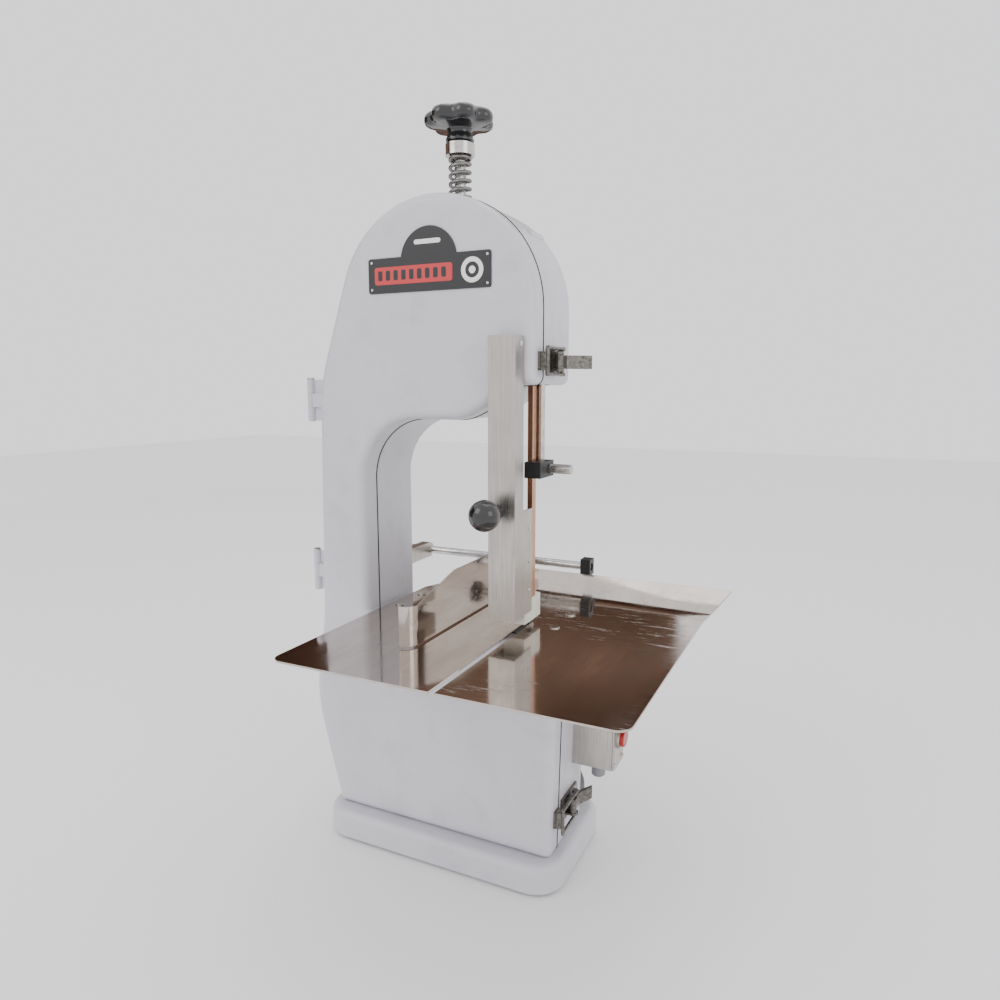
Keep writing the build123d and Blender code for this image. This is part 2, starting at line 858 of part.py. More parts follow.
with BuildPart() as gauge_plate:
    with BuildSketch(Plane.XY.offset(gauge_floor)):
        with Locations((gauge_x + gauge_thickness - gauge_lip, gauge_front + gauge_lip)):
            Circle(gauge_lip)
            Circle(gauge_lip - gauge_thickness, mode=Mode.SUBTRACT)
            Rectangle(2 * gauge_lip, 2 * gauge_lip, align=(Align.CENTER, Align.MIN), mode=Mode.SUBTRACT)
            Rectangle(2 * gauge_lip, 2 * gauge_lip, align=(Align.MAX, Align.CENTER), mode=Mode.SUBTRACT)
        with Locations((gauge_x, gauge_front + gauge_lip)):
            Rectangle(gauge_thickness, plate_back - gauge_front - gauge_lip, align=(Align.MIN, Align.MIN))
    extrude(amount=gauge_high)
    with BuildSketch(right_of(gauge_x - 2 * gauge_lip)):
        with BuildLine():
            Polyline(
                (table_bend - gauge_shift, gauge_floor - 1),
                (gauge_front - 1, gauge_floor - 1),
                (gauge_front - 1, table_top + gauge_low),
                (gauge_front + gauge_lip + 1, table_top + gauge_low),
                (gauge_step, table_top + gauge_high),
                (plate_back + 1, table_top + gauge_high),
                (plate_back + 1, gauge_floor + table_rise + 1),
                (table_back - gauge_shift, gauge_floor + table_rise + 1),
            )
            TangentArc(
                (table_bend - gauge_shift, gauge_floor - 1),
                (table_back - gauge_shift, gauge_floor + table_rise + 1),
                tangent=(1, 0),
            )
        make_face()
        with Locations((rod_y, rod_z)):
            Circle(rod_radius + clearance, mode=Mode.SUBTRACT)
            Rectangle(2 * (rod_radius + clearance), 3 * rod_radius, align=(Align.CENTER, Align.MAX),
                      mode=Mode.SUBTRACT)
    extrude(amount=3 * gauge_lip, mode=Mode.INTERSECT)
save("gauge_plate", gauge_plate.part)

gauge_screw = 6

with BuildPart() as gauge_hub:
    with BuildSketch(right_of(gauge_x)):
        with Locations((rod_y, rod_z)):
            Circle(hub_radius)
            Rectangle(2 * hub_radius, hub_radius + 2, align=(Align.CENTER, Align.MIN))
            Circle(rod_radius + running_fit, mode=Mode.SUBTRACT)
    extrude(amount=-hub_width)
    with BuildSketch(Plane.XY.offset(rod_z)):
        with Locations((gauge_x - hub_width / 2, rod_y)):
            Circle(gauge_screw / 2 + running_fit)
    extrude(amount=hub_radius + 4, mode=Mode.SUBTRACT)
save("gauge_hub", gauge_hub.part)

with BuildPart() as gauge_lock_knob:
    with BuildSketch(Plane.XY.offset(rod_z + rod_radius + clearance)):
        with Locations((gauge_x - hub_width / 2, rod_y)):
            Circle(gauge_screw / 2)
    extrude(amount=14)
    with BuildSketch(Plane.XY.offset(rod_z + hub_radius + 3)):
        with Locations((gauge_x - hub_width / 2, rod_y)):
            Circle(10)
            with PolarLocations(10.5, 8):
                Circle(1.8, mode=Mode.SUBTRACT)
    extrude(amount=14)
save("gauge_lock_knob", gauge_lock_knob.part)

# Guard and upper blade guide ----------------------------------------------------------------

guard_front = door_face - 2 - guard_depth
guard_bottom = table_top + guard_floor
guard_top = ledge + guard_overlap
shroud_top = guard_bottom + shroud_height
bar_back = wheel_plane - 7
bar_front = bar_back - guide_bar_depth
block_low = guard_bottom + 154
block_top = block_low + block_height
post_front = wheel_plane - 3
post_top = ledge + 48


def channel(left, front, width, depth, low, high):
    """A bent steel channel, open towards the blade."""
    with BuildPart() as piece:
        with BuildSketch(Plane.XY.offset(low)):
            with Locations((left, front)):
                Rectangle(width, depth, align=(Align.MIN, Align.MIN))
            with Locations((left + guard_wall, front + guard_wall)):
                inner = width - 2 * guard_wall
                Rectangle(inner, depth, align=(Align.MIN, Align.MIN), mode=Mode.SUBTRACT)
        extrude(amount=high - low)
    return piece.part


stud = 6
ball_z = guard_bottom + 122
ball_x = guard_left + guard_width / 3

with BuildPart() as guard_channel:
    add(channel(guard_left, guard_front, guard_width, guard_depth, guard_bottom, guard_top))
    with BuildSketch(front_of(guard_front + guard_wall)):
        with Locations((ball_x, ball_z)):
            Circle(stud / 2 + fit)
    extrude(amount=guard_wall, mode=Mode.SUBTRACT)
save("guard_channel", guard_channel.part)

save("blade_shroud", channel(guard_left + guard_wall, guard_front + guard_wall, guard_width - 2 * guard_wall,
                             shroud_depth - guard_wall, guard_bottom, shroud_top))

with BuildPart() as ball_knob:
    with Locations((ball_x, guard_front - ball_reach, ball_z)):
        Sphere(ball_diameter / 2)
    with BuildSketch(front_of(guard_front)):
        with Locations((ball_x, ball_z)):
            Circle(8)
    extrude(amount=8)
    with BuildSketch(front_of(guard_front + guard_wall)):
        with Locations((ball_x, ball_z)):
            Circle(stud / 2)
    extrude(amount=ball_reach)
save("ball_knob", ball_knob.part)

with BuildPart() as guide_bar:
    with BuildSketch(right_of(bar_left)):
        with Locations((bar_front, guard_bottom + 14)):
            Rectangle(guide_bar_depth, ledge + 12 - guard_bottom - 14, align=(Align.MIN, Align.MIN))
        with Locations((bar_back, guard_bottom + 14)):
            Rectangle(guide_bar_depth + 20, 95, align=(Align.MAX, Align.MIN))
    extrude(amount=guide_bar_width)
save("guide_bar", guide_bar.part)

with BuildPart() as upper_blade_guide:
    with BuildSketch(Plane.XY.offset(table_top + 9)):
        with Locations((guard_left + 2 * guard_wall, bar_front - 20)):
            Rectangle(bar_right - guard_left - 2 * guard_wall, 46, align=(Align.MIN, Align.MIN))
        with Locations((blade_x - 2.6, wheel_plane - band_width / 2 - 1.5)):
            Rectangle(4.2, 2 * band_width, align=(Align.MIN, Align.MIN), mode=Mode.SUBTRACT)
    extrude(amount=guard_bottom + 14 - table_top - 9)
save("upper_blade_guide", upper_blade_guide.part)

lock_z = block_low + block_height / 2
lock_y = post_front + post_depth / 2
block_right = guard_right + 10

with BuildPart() as guide_block:
    with BuildSketch(Plane.XY.offset(block_low)):
        with Locations((bar_left - 0.5, bar_front - 8)):
            Rectangle(block_right - bar_left + 0.5, 40, align=(Align.MIN, Align.MIN))
        with Locations((bar_left, bar_front)):
            Rectangle(guide_bar_width, guide_bar_depth, align=(Align.MIN, Align.MIN), mode=Mode.SUBTRACT)
        with Locations((post_left - slide_fit, post_front - slide_fit)):
            Rectangle(post_width + 2 * slide_fit, post_depth + 2 * slide_fit,
                      align=(Align.MIN, Align.MIN), mode=Mode.SUBTRACT)
    extrude(amount=block_height)
    with BuildSketch(right_of(block_right)):
        with Locations((lock_y, lock_z)):
            Circle(lock_screw_diameter / 4 + running_fit)
    extrude(amount=-(block_right - post_left - post_width), mode=Mode.SUBTRACT)
save("guide_block", guide_block.part)

with BuildPart() as guard_lock_screw:
    with BuildSketch(right_of(post_left + post_width + 2 * slide_fit)):
        with Locations((lock_y, lock_z)):
            Circle(lock_screw_diameter / 4)
    extrude(amount=block_right + clearance - post_left - post_width - 2 * slide_fit)
    with BuildSketch(right_of(block_right + clearance)):
        with Locations((lock_y, lock_z)):
            Circle(lock_screw_diameter / 2)
            with PolarLocations(lock_screw_diameter / 2, 10):
                Circle(0.8, mode=Mode.SUBTRACT)
    extrude(amount=26)
save("guard_lock_screw", guard_lock_screw.part)

with BuildPart() as guide_post:
    with BuildSketch(Plane.XY.offset(block_low + 2)):
        with Locations((post_left, post_front)):
            Rectangle(post_width, post_depth, align=(Align.MIN, Align.MIN))
    extrude(amount=post_top - block_low - 2)
save("guide_post", guide_post.part)

with BuildPart() as post_bracket:
    bracket_left = bar_left + 0.6
    door_inside = door_face + door_wall
    with BuildSketch(Plane.XY.offset(ledge + 18)):
        with Locations((bracket_left, door_inside)):
            Rectangle(post_left + post_width + bracket_wall - bracket_left, post_front + post_depth + 2 - door_inside,
                      align=(Align.MIN, Align.MIN))
        with Locations((post_left, post_front)):
            Rectangle(post_width, post_depth, align=(Align.MIN, Align.MIN), mode=Mode.SUBTRACT)
        with Locations((bar_left - clearance, bar_front - clearance)):
            Rectangle(guide_bar_width + 2 * clearance, guide_bar_depth + 2 * clearance,
                      align=(Align.MIN, Align.MIN), mode=Mode.SUBTRACT)
    extrude(amount=28)
    add(front_door.part, mode=Mode.SUBTRACT)
save("post_bracket", post_bracket.part)

with BuildPart() as guard_rail:
    with BuildSketch(Plane.XY.offset(ledge + 6)):
        with Locations((guard_left + guard_wall + slide_fit, guard_front + guard_wall + slide_fit)):
            Rectangle(guard_width - 2 * guard_wall - 2 * slide_fit, door_face - guard_front - guard_wall - slide_fit,
                      align=(Align.MIN, Align.MIN))
    extrude(amount=guard_overlap - 10)
save("guard_rail", guard_rail.part)

# Nameplate ----------------------------------------------------------------------------------

with BuildPart() as nameplate:
    with BuildSketch(front_of(door_face)):
        with Locations((-1, upper_z + 40.5)):
            RectangleRounded(158, 39, 3)
        with Locations((0, upper_z + 55)):
            Circle(36)
        with Locations((0, upper_z + 21)):
            Rectangle(200, 80, align=(Align.CENTER, Align.MAX), mode=Mode.SUBTRACT)
    extrude(amount=1.2)
save("nameplate", nameplate.part)

# Hinges -------------------------------------------------------------------------------------

hinge_x = throat_x - column_width - belly - hinge_offset
hinges_at = [sill + hinge_rise, upper_z - hinge_drop]
pin_radius = hinge_pin / 2
knuckle_radius = pin_radius + 2


with BuildPart() as body_fill:
    with BuildSketch(front_of(casting_rear)):
        add(outline)
    extrude(amount=casting_rear - door_face)


def knuckles(low, high, bore, front):
    """One hinge barrel and the leaf that ties it to the body wall."""
    with BuildPart() as piece:
        with BuildSketch(Plane.XY.offset(low)):
            with Locations((hinge_x, seam)):
                Circle(knuckle_radius)
                Circle(bore, mode=Mode.SUBTRACT)
            keep = Align.MAX if front else Align.MIN
            gap = -slide_fit if front else slide_fit
            with Locations((hinge_x + pin_radius + 0.6, seam + gap)):
                Rectangle(hinge_offset + belly + hinge_leaf_reach, hinge_leaf, align=(Align.MIN, keep))
        extrude(amount=high - low)
    return piece.part


third = hinge_height / 3

with BuildPart() as casting_hinges:
    for middle in hinges_at:
        add(knuckles(middle - hinge_height / 2, middle - third / 2 - slide_fit, pin_radius + fit, False))
        add(knuckles(middle + third / 2 + slide_fit, middle + hinge_height / 2, pin_radius + fit, False))
    add(body_fill.part, mode=Mode.SUBTRACT)
save("casting_hinges", casting_hinges.part)

with BuildPart() as door_hinges:
    for middle in hinges_at:
        add(knuckles(middle - third / 2, middle + third / 2, pin_radius + running_fit, True))
    add(body_fill.part, mode=Mode.SUBTRACT)
save("door_hinges", door_hinges.part)

with BuildPart() as hinge_pins:
    for middle in hinges_at:
        with BuildSketch(Plane.XY.offset(middle - hinge_height / 2 - 1)):
            with Locations((hinge_x, seam)):
                Circle(pin_radius)
        extrude(amount=hinge_height + 2)
        with BuildSketch(Plane.XY.offset(middle + hinge_height / 2)):
            with Locations((hinge_x, seam)):
                Circle(pin_radius + 1.4)
        extrude(amount=2.5)
save("hinge_pins", hinge_pins.part)

# Latches ------------------------------------------------------------------------------------

pivot_y = seam + 24
pivot_out = 9
bail_arm = 9
bail_pivot_y = pivot_y + bail_arm
catch_y = seam - 14
wire_radius = latch_wire / 2
half_latch = latch_width / 2
latch_pin = 2.5
ear_gap = 8
ear_thickness = 2.5
latches = {"upper": (ledge + 26, head_radius, 26), "lower": (base_height + 46, side_x(base_height + 60), 12)}


def wall_x(z, name):
    """X of the body wall behind a latch at height z."""
    return head_radius if name == "upper" else side_x(z)


def wall_pad(name, z, outer, y_front, y_back, half):
    """A pad between the body wall, upright or leaning, and an upright outer face."""
    with BuildPart() as pad:
        with BuildSketch(front_of(y_back)):
            with BuildLine():
                Polyline(
                    (wall_x(z - half, name), z - half),
                    (outer, z - half),
                    (outer, z + half),
                    (wall_x(z + half, name), z + half),
                    close=True,
                )
            make_face()
        extrude(amount=y_back - y_front)
    return pad.part


with BuildPart() as latch_bases:
    for name, (z, x, handle) in latches.items():
        add(wall_pad(name, z, x + latch_plate, seam + 6, web_rear + 18, half_latch))
        for low in (z - ear_gap - ear_thickness, z + ear_gap):
            with BuildSketch(Plane.XY.offset(low)):
                with Locations((x + pivot_out, pivot_y)):
                    Circle(5.5)
                with Locations((x + latch_plate, pivot_y)):
                    Rectangle(pivot_out - latch_plate, 11, align=(Align.MIN, Align.CENTER))
            extrude(amount=ear_thickness)
        with BuildSketch(Plane.XY.offset(z - ear_gap - ear_thickness - 1)):
            with Locations((x + pivot_out, pivot_y)):
                Circle(latch_pin)
        extrude(amount=2 * (ear_gap + ear_thickness + 1))
save("latch_bases", latch_bases.part)

with BuildPart() as latch_catches:
    for name, (z, x, handle) in latches.items():
        add(wall_pad(name, z, x + 2.5, catch_y - 2, seam - 2, 10))
        with BuildSketch(front_of(catch_y + 2.5)):
            with Locations((x + 2.5, z)):
                Rectangle(5.5, 20, align=(Align.MIN, Align.CENTER))
        extrude(amount=3)
save("latch_catches", latch_catches.part)

for name, (z, x, handle) in latches.items():
    lever_half = ear_gap - 0.4
    with BuildPart() as lever:
        with BuildSketch(Plane.XY.offset(z - lever_half)):
            with Locations((x + pivot_out, pivot_y)):
                Circle(5)
                Rectangle(5, 22, align=(Align.CENTER, Align.MIN))
            with BuildLine():
                Polyline(
                    (x + pivot_out - 2.5, pivot_y + 20),
                    (x + pivot_out + 2.5, pivot_y + 18),
                    (x + pivot_out + handle, pivot_y + 38),
                    (x + pivot_out + handle - 2, pivot_y + 42),
                    close=True,
                )
            make_face()
            with Locations((x + pivot_out, pivot_y)):
                Circle(latch_pin + running_fit, mode=Mode.SUBTRACT)
        extrude(amount=2 * lever_half)
        with BuildSketch(Plane.XY.offset(z - half_latch - wire_radius)):
            with Locations((x + pivot_out, bail_pivot_y)):
                Circle(wire_radius)
        extrude(amount=latch_width + latch_wire)
    save(f"latch_lever_{name}", lever.part)

    with BuildPart() as bail:
        for side in (-1, 1):
            with BuildSketch(Plane.XY.offset(z + side * half_latch - wire_radius)):
                with Locations((x + pivot_out, bail_pivot_y)):
                    Circle(wire_radius + 2)
                    Circle(wire_radius + running_fit, mode=Mode.SUBTRACT)
            extrude(amount=latch_wire)
            with BuildSketch(back_of(catch_y)):
                with Locations((-x - pivot_out - 1.8, z + side * half_latch)):
                    Circle(wire_radius - 0.1)
            extrude(amount=bail_pivot_y - wire_radius - 0.6 - catch_y)
        with BuildSketch(Plane.XY.offset(z - half_latch - wire_radius)):
            with Locations((x + pivot_out + 1.8, catch_y)):
                Circle(wire_radius)
        extrude(amount=latch_width + latch_wire)
    save(f"latch_bail_{name}", bail.part)

# Switch box ---------------------------------------------------------------------------------

box_front = -2
box_back = box_front + box_depth
box_top = box_floor + box_height
box_left = lower_right + 2

with BuildPart() as switch_box:
    with BuildSketch(front_of(box_back)):
        with BuildLine():
            Polyline(
                (side_x(box_floor), box_floor),
                (box_reach, box_floor),
                (box_reach, box_top),
                (side_x(box_top), box_top),
                close=True,
            )
        make_face()
    extrude(amount=box_depth)
    fillet(switch_box.edges().filter_by(Axis.Z).group_by(Axis.X)[-1], 2)
    with BuildSketch(right_of(box_reach)):
        with Locations(((box_front + box_back) / 2, (box_floor + box_top) / 2)):
            Rectangle(box_depth - 2 * box_wall, box_height - 2 * box_wall)
    extrude(amount=-(box_reach - box_left - 2 * box_wall), mode=Mode.SUBTRACT)
save("switch_box", switch_box.part)

buttons = {"start_button": box_floor + 68, "stop_button": box_floor + 36}
box_middle = (box_front + box_back) / 2

with BuildPart() as switch_cover:
    with BuildSketch(right_of(box_reach)):
        with Locations((box_middle, (box_floor + box_top) / 2)):
            RectangleRounded(box_depth, box_height, 3)
        for z in buttons.values():
            with Locations((box_middle, z)):
                Circle(button_diameter / 2, mode=Mode.SUBTRACT)
    extrude(amount=box_wall)
    for z in buttons.values():
        with BuildSketch(right_of(box_reach)):
            with Locations((box_middle, z)):
                Circle(button_diameter / 2 + 2.5)
                Circle(button_diameter / 2, mode=Mode.SUBTRACT)
        extrude(amount=box_wall + 4)
save("switch_cover", switch_cover.part)

for name, z in buttons.items():
    with BuildPart() as button:
        with BuildSketch(right_of(box_reach - 8)):
            with Locations((box_middle, z)):
                Circle(button_diameter / 2 - 0.4)
        proud = 4.5 if name == "start_button" else 8.5
        extrude(amount=8 + box_wall + proud)
        fillet(button.faces().sort_by(Axis.X)[-1].edges(), 1)
    save(name, button.part)

gland_x = box_left + 22

with BuildPart() as cable_gland:
    with BuildSketch(Plane.XY.offset(box_floor)):
        with Locations((gland_x, box_middle)):
            RegularPolygon(10, 6)
            Circle(5, mode=Mode.SUBTRACT)
    extrude(amount=-6)
    with BuildSketch(Plane.XY.offset(box_floor - 6)):
        with Locations((gland_x, box_middle)):
            Circle(8.5)
            Circle(5, mode=Mode.SUBTRACT)
    extrude(amount=-13)
    chamfer(cable_gland.faces().sort_by(Axis.Z)[0].edges().sort_by(SortBy.LENGTH)[-1], 2)
save("cable_gland", cable_gland.part)
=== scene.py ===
import json
from math import cos, pi, radians, sin

import bmesh
import bpy
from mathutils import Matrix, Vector


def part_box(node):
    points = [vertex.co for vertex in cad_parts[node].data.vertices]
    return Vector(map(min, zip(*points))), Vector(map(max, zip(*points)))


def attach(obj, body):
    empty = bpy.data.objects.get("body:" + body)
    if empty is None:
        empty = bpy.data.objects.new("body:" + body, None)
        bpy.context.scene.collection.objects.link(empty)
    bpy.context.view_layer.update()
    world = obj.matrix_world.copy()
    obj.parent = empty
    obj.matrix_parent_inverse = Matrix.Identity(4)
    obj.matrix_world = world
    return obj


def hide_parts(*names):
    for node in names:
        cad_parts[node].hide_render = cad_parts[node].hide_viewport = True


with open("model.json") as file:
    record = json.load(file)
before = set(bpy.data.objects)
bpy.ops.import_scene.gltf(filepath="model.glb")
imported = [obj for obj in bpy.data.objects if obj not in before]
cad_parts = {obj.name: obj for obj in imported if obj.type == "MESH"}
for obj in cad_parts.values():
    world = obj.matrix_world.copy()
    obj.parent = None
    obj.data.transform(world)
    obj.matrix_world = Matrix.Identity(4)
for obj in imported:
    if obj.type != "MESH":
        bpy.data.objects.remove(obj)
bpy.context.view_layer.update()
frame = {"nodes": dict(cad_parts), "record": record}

bl_info = {
    "name": "Countertop Bone Saw Looks",
    "version": (1, 0, 0),
    "blender": (4, 5, 0),
    "location": "View3D > Sidebar > Bone Saw",
    "description": "Detailed pieces, finishes and a studio stage for the bone saw's frame",
    "category": "Add Mesh",
}

MM = 0.001

# The camera's place in metres, its lens in millimetres, and its tilt and turn in degrees
CAMERA_PLACE = (0.440, -0.807, 0.588)
CAMERA_LENS = 26.68
SENSOR_WIDTH = 36
CAMERA_TILT = 90 - 8.8
CAMERA_TURN = 25.6

# Steps round the knob: many, so that each lobe stays round
KNOB_STEPS = 168


# ---- Colour and node helpers ----------------------------------------------------------------

def linear(hex_colour):
    """Linear RGBA from an sRGB hex string."""
    channels = [int(hex_colour[i:i + 2], 16) / 255 for i in (0, 2, 4)]
    return tuple(c / 12.92 if c <= 0.04045 else ((c + 0.055) / 1.055) ** 2.4 for c in channels) + (1.0,)


def per_mm(size):
    """Texture scale that gives features about size millimetres across, on coordinates in metres."""
    return 1000.0 / size


def add_node(tree, kind, values=None, **settings):
    """Add a node with its settings. A value is a socket to link, a hex colour or a constant."""
    made = tree.nodes.new(kind)
    for key, value in settings.items():
        setattr(made, key, value)
    for socket, value in (values or {}).items():
        if isinstance(value, bpy.types.NodeSocket):
            tree.links.new(value, made.inputs[socket])
        else:
            made.inputs[socket].default_value = linear(value) if isinstance(value, str) else value
    return made


# Places of the colour mix's own sockets, whose names repeat
MIX_AMOUNT, MIX_FIRST, MIX_SECOND, MIX_RESULT = 0, 6, 7, 2


def layered(name, patterns, base, tints, shine=(), relief=(), edge=0.0, **sockets):
    """A named finish built in layers on one Principled shader.

    patterns: name -> (size in mm, detail, roughness, squeeze along each axis or None)
    tints:    (pattern, amount, start, end, colour), each laid over the colours before it
    shine:    (pattern, low, high, start, end), added up as the roughness
    relief:   (pattern, depth in mm, strength), from the slowest to the finest
    edge:     radius in mm over which a sharp edge is shaded round, so that it catches the light
    """
    material = bpy.data.materials.new(name)
    material.use_nodes = True
    tree = material.node_tree
    tree.nodes.clear()
    shader = add_node(tree, "ShaderNodeBsdfPrincipled",
                      {key.replace("_", " "): value for key, value in sockets.items()})
    add_node(tree, "ShaderNodeOutputMaterial", {"Surface": shader.outputs["BSDF"]})
    place = add_node(tree, "ShaderNodeTexCoord").outputs["Object"]
    height = {}
    for key, (size, detail, roughness, squeeze) in patterns.items():
        spot = place
        if squeeze:
            spot = add_node(tree, "ShaderNodeMapping", {"Vector": place, "Scale": squeeze}).outputs["Vector"]
        height[key] = add_node(tree, "ShaderNodeTexNoise", {
            "Vector": spot, "Scale": per_mm(size), "Detail": detail, "Roughness": roughness}).outputs["Fac"]
    colour = base
    for key, amount, start, end, tint in tints:
        share = add_node(tree, "ShaderNodeMapRange", {
            "Value": height[key], "From Min": start, "From Max": end, "To Min": 0.0, "To Max": amount})
        colour = add_node(tree, "ShaderNodeMix", {
            MIX_AMOUNT: share.outputs["Result"], MIX_FIRST: colour, MIX_SECOND: tint},
            data_type="RGBA").outputs[MIX_RESULT]
    tree.links.new(colour, shader.inputs["Base Color"])
    rough = None
    for key, low, high, start, end, *mask in shine:
        part = add_node(tree, "ShaderNodeMapRange", {
            "Value": height[key], "From Min": start, "From Max": end, "To Min": low,
            "To Max": high}).outputs["Result"]
        if mask:
            where, mask_start, mask_end = mask
            patch = add_node(tree, "ShaderNodeMapRange", {
                "Value": height[where], "From Min": mask_start, "From Max": mask_end})
            part = add_node(tree, "ShaderNodeMath", {0: part, 1: patch.outputs["Result"]},
                            operation="MULTIPLY").outputs["Value"]
        if rough:
            part = add_node(tree, "ShaderNodeMath", {0: rough, 1: part}, operation="ADD").outputs["Value"]
        rough = part
    if rough:
        tree.links.new(rough, shader.inputs["Roughness"])
    normal = None
    if edge:
        normal = add_node(tree, "ShaderNodeBevel", {"Radius": edge * MM}, samples=4).outputs["Normal"]
    for key, depth, strength in relief:
        values = {"Height": height[key], "Distance": depth * MM, "Strength": strength}
        if normal:
            values["Normal"] = normal
        normal = add_node(tree, "ShaderNodeBump", values).outputs["Normal"]
    if normal:
        tree.links.new(normal, shader.inputs["Normal"])
    return material


# ---- Finishes -------------------------------------------------------------------------------
# Orange peel, brush lines and tool marks are finer than the picture shows, so their sizes are
# drawn as coarse as they need to be to show.

def sprayed_enamel(name, light, shade, soil):
    """Stoved enamel sprayed over cast or pressed metal: a soft gloss, a fine orange peel over the
    slow unevenness beneath, and a little grey soiling in patches and specks."""
    return layered(
        name,
        {"slow": (140, 4.0, 0.5, None), "patches": (38, 6.0, 0.62, None), "specks": (2.4, 2.0, 0.5, None),
         "cast": (26, 3.0, 0.5, None), "peel": (3.2, 2.0, 0.5, None)},
        light,
        [("slow", 1.0, 0.3, 0.7, shade), ("patches", 0.3, 0.52, 0.78, soil),
         ("specks", 0.22, 0.69, 0.74, soil)],
        [("patches", 0.34, 0.5, 0.3, 0.7)],
        [("cast", 0.35, 0.35), ("peel", 0.05, 0.5)],
        edge=0.7, IOR=1.5, Coat_Weight=0.25, Coat_Roughness=0.22)


def brushed_stainless(name, colour, shade, rough):
    """Steel rubbed lengthwise with a belt: long fine scratches up the piece that spread each
    highlight sideways, with slow smudges from handling."""
    return layered(
        name,
        {"grain": (0.9, 2.0, 0.5, (1.0, 1.0, 0.018)), "smudge": (30, 4.0, 0.5, None)},
        colour,
        [("grain", 0.55, 0.3, 0.7, shade), ("smudge", 0.3, 0.3, 0.7, shade)],
        [("grain", rough - 0.07, rough + 0.1, 0.3, 0.7), ("smudge", 0.0, 0.07, 0.3, 0.7)],
        [("grain", 0.02, 0.5)],
        edge=0.3, Metallic=1.0)


def mirror_stainless():
    """Stainless sheet polished to a mirror and then used: near-clear reflections, slow waves in
    the sheet, a haze of fine wiping scratches, dull smears and patches of rubbed strokes. The warm
    grey of the sheet and the brown tint of the smears are partly painted reflection of a brown room."""
    return layered(
        "Stainless_sheet_mirror_polished",
        {"smear_and_brown_reflection": (34, 5.0, 0.6, (1.0, 0.25, 1.0)), "scratch": (1.4, 3.0, 0.5, (1.0, 0.03, 1.0)),
         "cross": (1.8, 3.0, 0.5, (0.05, 1.0, 1.0)), "strokes": (5, 4.0, 0.7, (0.12, 1.0, 1.0)),
         "patch": (120, 1.0, 0.5, None), "waves": (90, 1.0, 0.5, None)},
        # Warm grey base and brown smear tint: partly painted reflection of a brown room, partly dull smears
        # on the sheet.
        "C9C0B8",
        [("smear_and_brown_reflection", 0.6, 0.3, 0.7, "A89C93"), ("scratch", 0.25, 0.5, 0.75, "DDD8D2")],
        [("smear_and_brown_reflection", 0.05, 0.17, 0.35, 0.75), ("cross", 0.0, 0.07, 0.5, 0.75),
         ("strokes", 0.0, 0.28, 0.55, 0.68, "patch", 0.45, 0.6)],
        [("waves", 0.5, 0.25), ("scratch", 0.01, 0.4)],
        edge=0.3, Metallic=1.0)


def plated_steel(name, colour, shade, rough, spot=5.0):
    """Turned, drawn or pressed steel, bright where it is whole and dull in small worn spots."""
    return layered(
        name,
        {"wear": (spot, 5.0, 0.65, None), "tool": (0.8, 2.0, 0.5, None)},
        colour,
        [("wear", 0.8, 0.4, 0.7, shade)],
        [("wear", rough - 0.05, rough + 0.16, 0.3, 0.7)],
        [("tool", 0.01, 0.35)],
        edge=0.35, Metallic=1.0)


def turned_iron():
    """Cast iron turned on its rim and oiled: an uneven stained grey with darker open pores."""
    return layered(
        "Cast_iron_turned_and_oiled",
        {"pores": (1.6, 4.0, 0.6, None), "stain": (26, 4.0, 0.5, None)},
        "8C8B89",
        [("stain", 0.7, 0.3, 0.7, "6B6865"), ("pores", 0.8, 0.62, 0.75, "33302D")],
        [("stain", 0.3, 0.5, 0.3, 0.7)],
        [("pores", 0.06, 0.5)],
        edge=0.6, Metallic=1.0)


def moulded_phenolic():
    """Black phenolic pressed in a polished mould: a deep gloss, faint flow marks and light scuffs."""
    return layered(
        "Phenolic_moulded_gloss_black",
        {"flow": (14, 3.0, 0.5, None), "scuff": (1.6, 5.0, 0.7, None)},
        "0C0C0E",
        [("flow", 1.0, 0.3, 0.7, "151417"), ("scuff", 0.4, 0.63, 0.76, "3A393B")],
        [("scuff", 0.12, 0.3, 0.45, 0.75)],
        [("flow", 0.05, 0.3)],
        edge=0.5, IOR=1.6, Coat_Weight=0.3, Coat_Roughness=0.06)


def moulded_plastic(name, colour, shade, rough, grain=0.7):
    """Injection-moulded plastic: a fine spark-eroded grain that breaks up the highlight."""
    return layered(
        name,
        {"spark": (grain, 3.0, 0.5, None), "slow": (16, 3.0, 0.5, None)},
        colour,
        [("slow", 1.0, 0.3, 0.7, shade)],
        [("spark", rough - 0.06, rough + 0.08, 0.3, 0.7)],
        [("spark", 0.02, 0.4)],
        edge=0.3, IOR=1.5)


def band_steel():
    """Hardened carbon steel strip as rolled: a dull grey with lengthwise rolling lines."""
    return layered(
        "Carbon_steel_rolled_band",
        {"roll": (0.7, 3.0, 0.5, (0.03, 1.0, 0.03))},
        "B9B4AD",
        [("roll", 1.0, 0.3, 0.7, "8A847D")],
        [("roll", 0.22, 0.4, 0.3, 0.7)],
        [("roll", 0.01, 0.4)],
        Metallic=1.0)


def printed_plate(name, colour, shade):
    """Stoved screen ink on aluminium plate: flat colour with a soft sheen and pin-prick wear."""
    return layered(
        name,
        {"wear": (0.9, 4.0, 0.7, None)},
        colour,
        [("wear", 0.5, 0.6, 0.76, shade)],
        [("wear", 0.26, 0.42, 0.3, 0.7)],
        [("wear", 0.01, 0.3)],
        IOR=1.5, Coat_Weight=0.4, Coat_Roughness=0.12)


def floor_paper():
    """Matt studio paper: pale, with the faintest tooth."""
    return layered("Studio_paper_matt", {"tooth": (4, 3.0, 0.5, None)}, "F4F4F4",
                   [("tooth", 1.0, 0.0, 1.0, "EFEFEF")], Roughness=0.9)


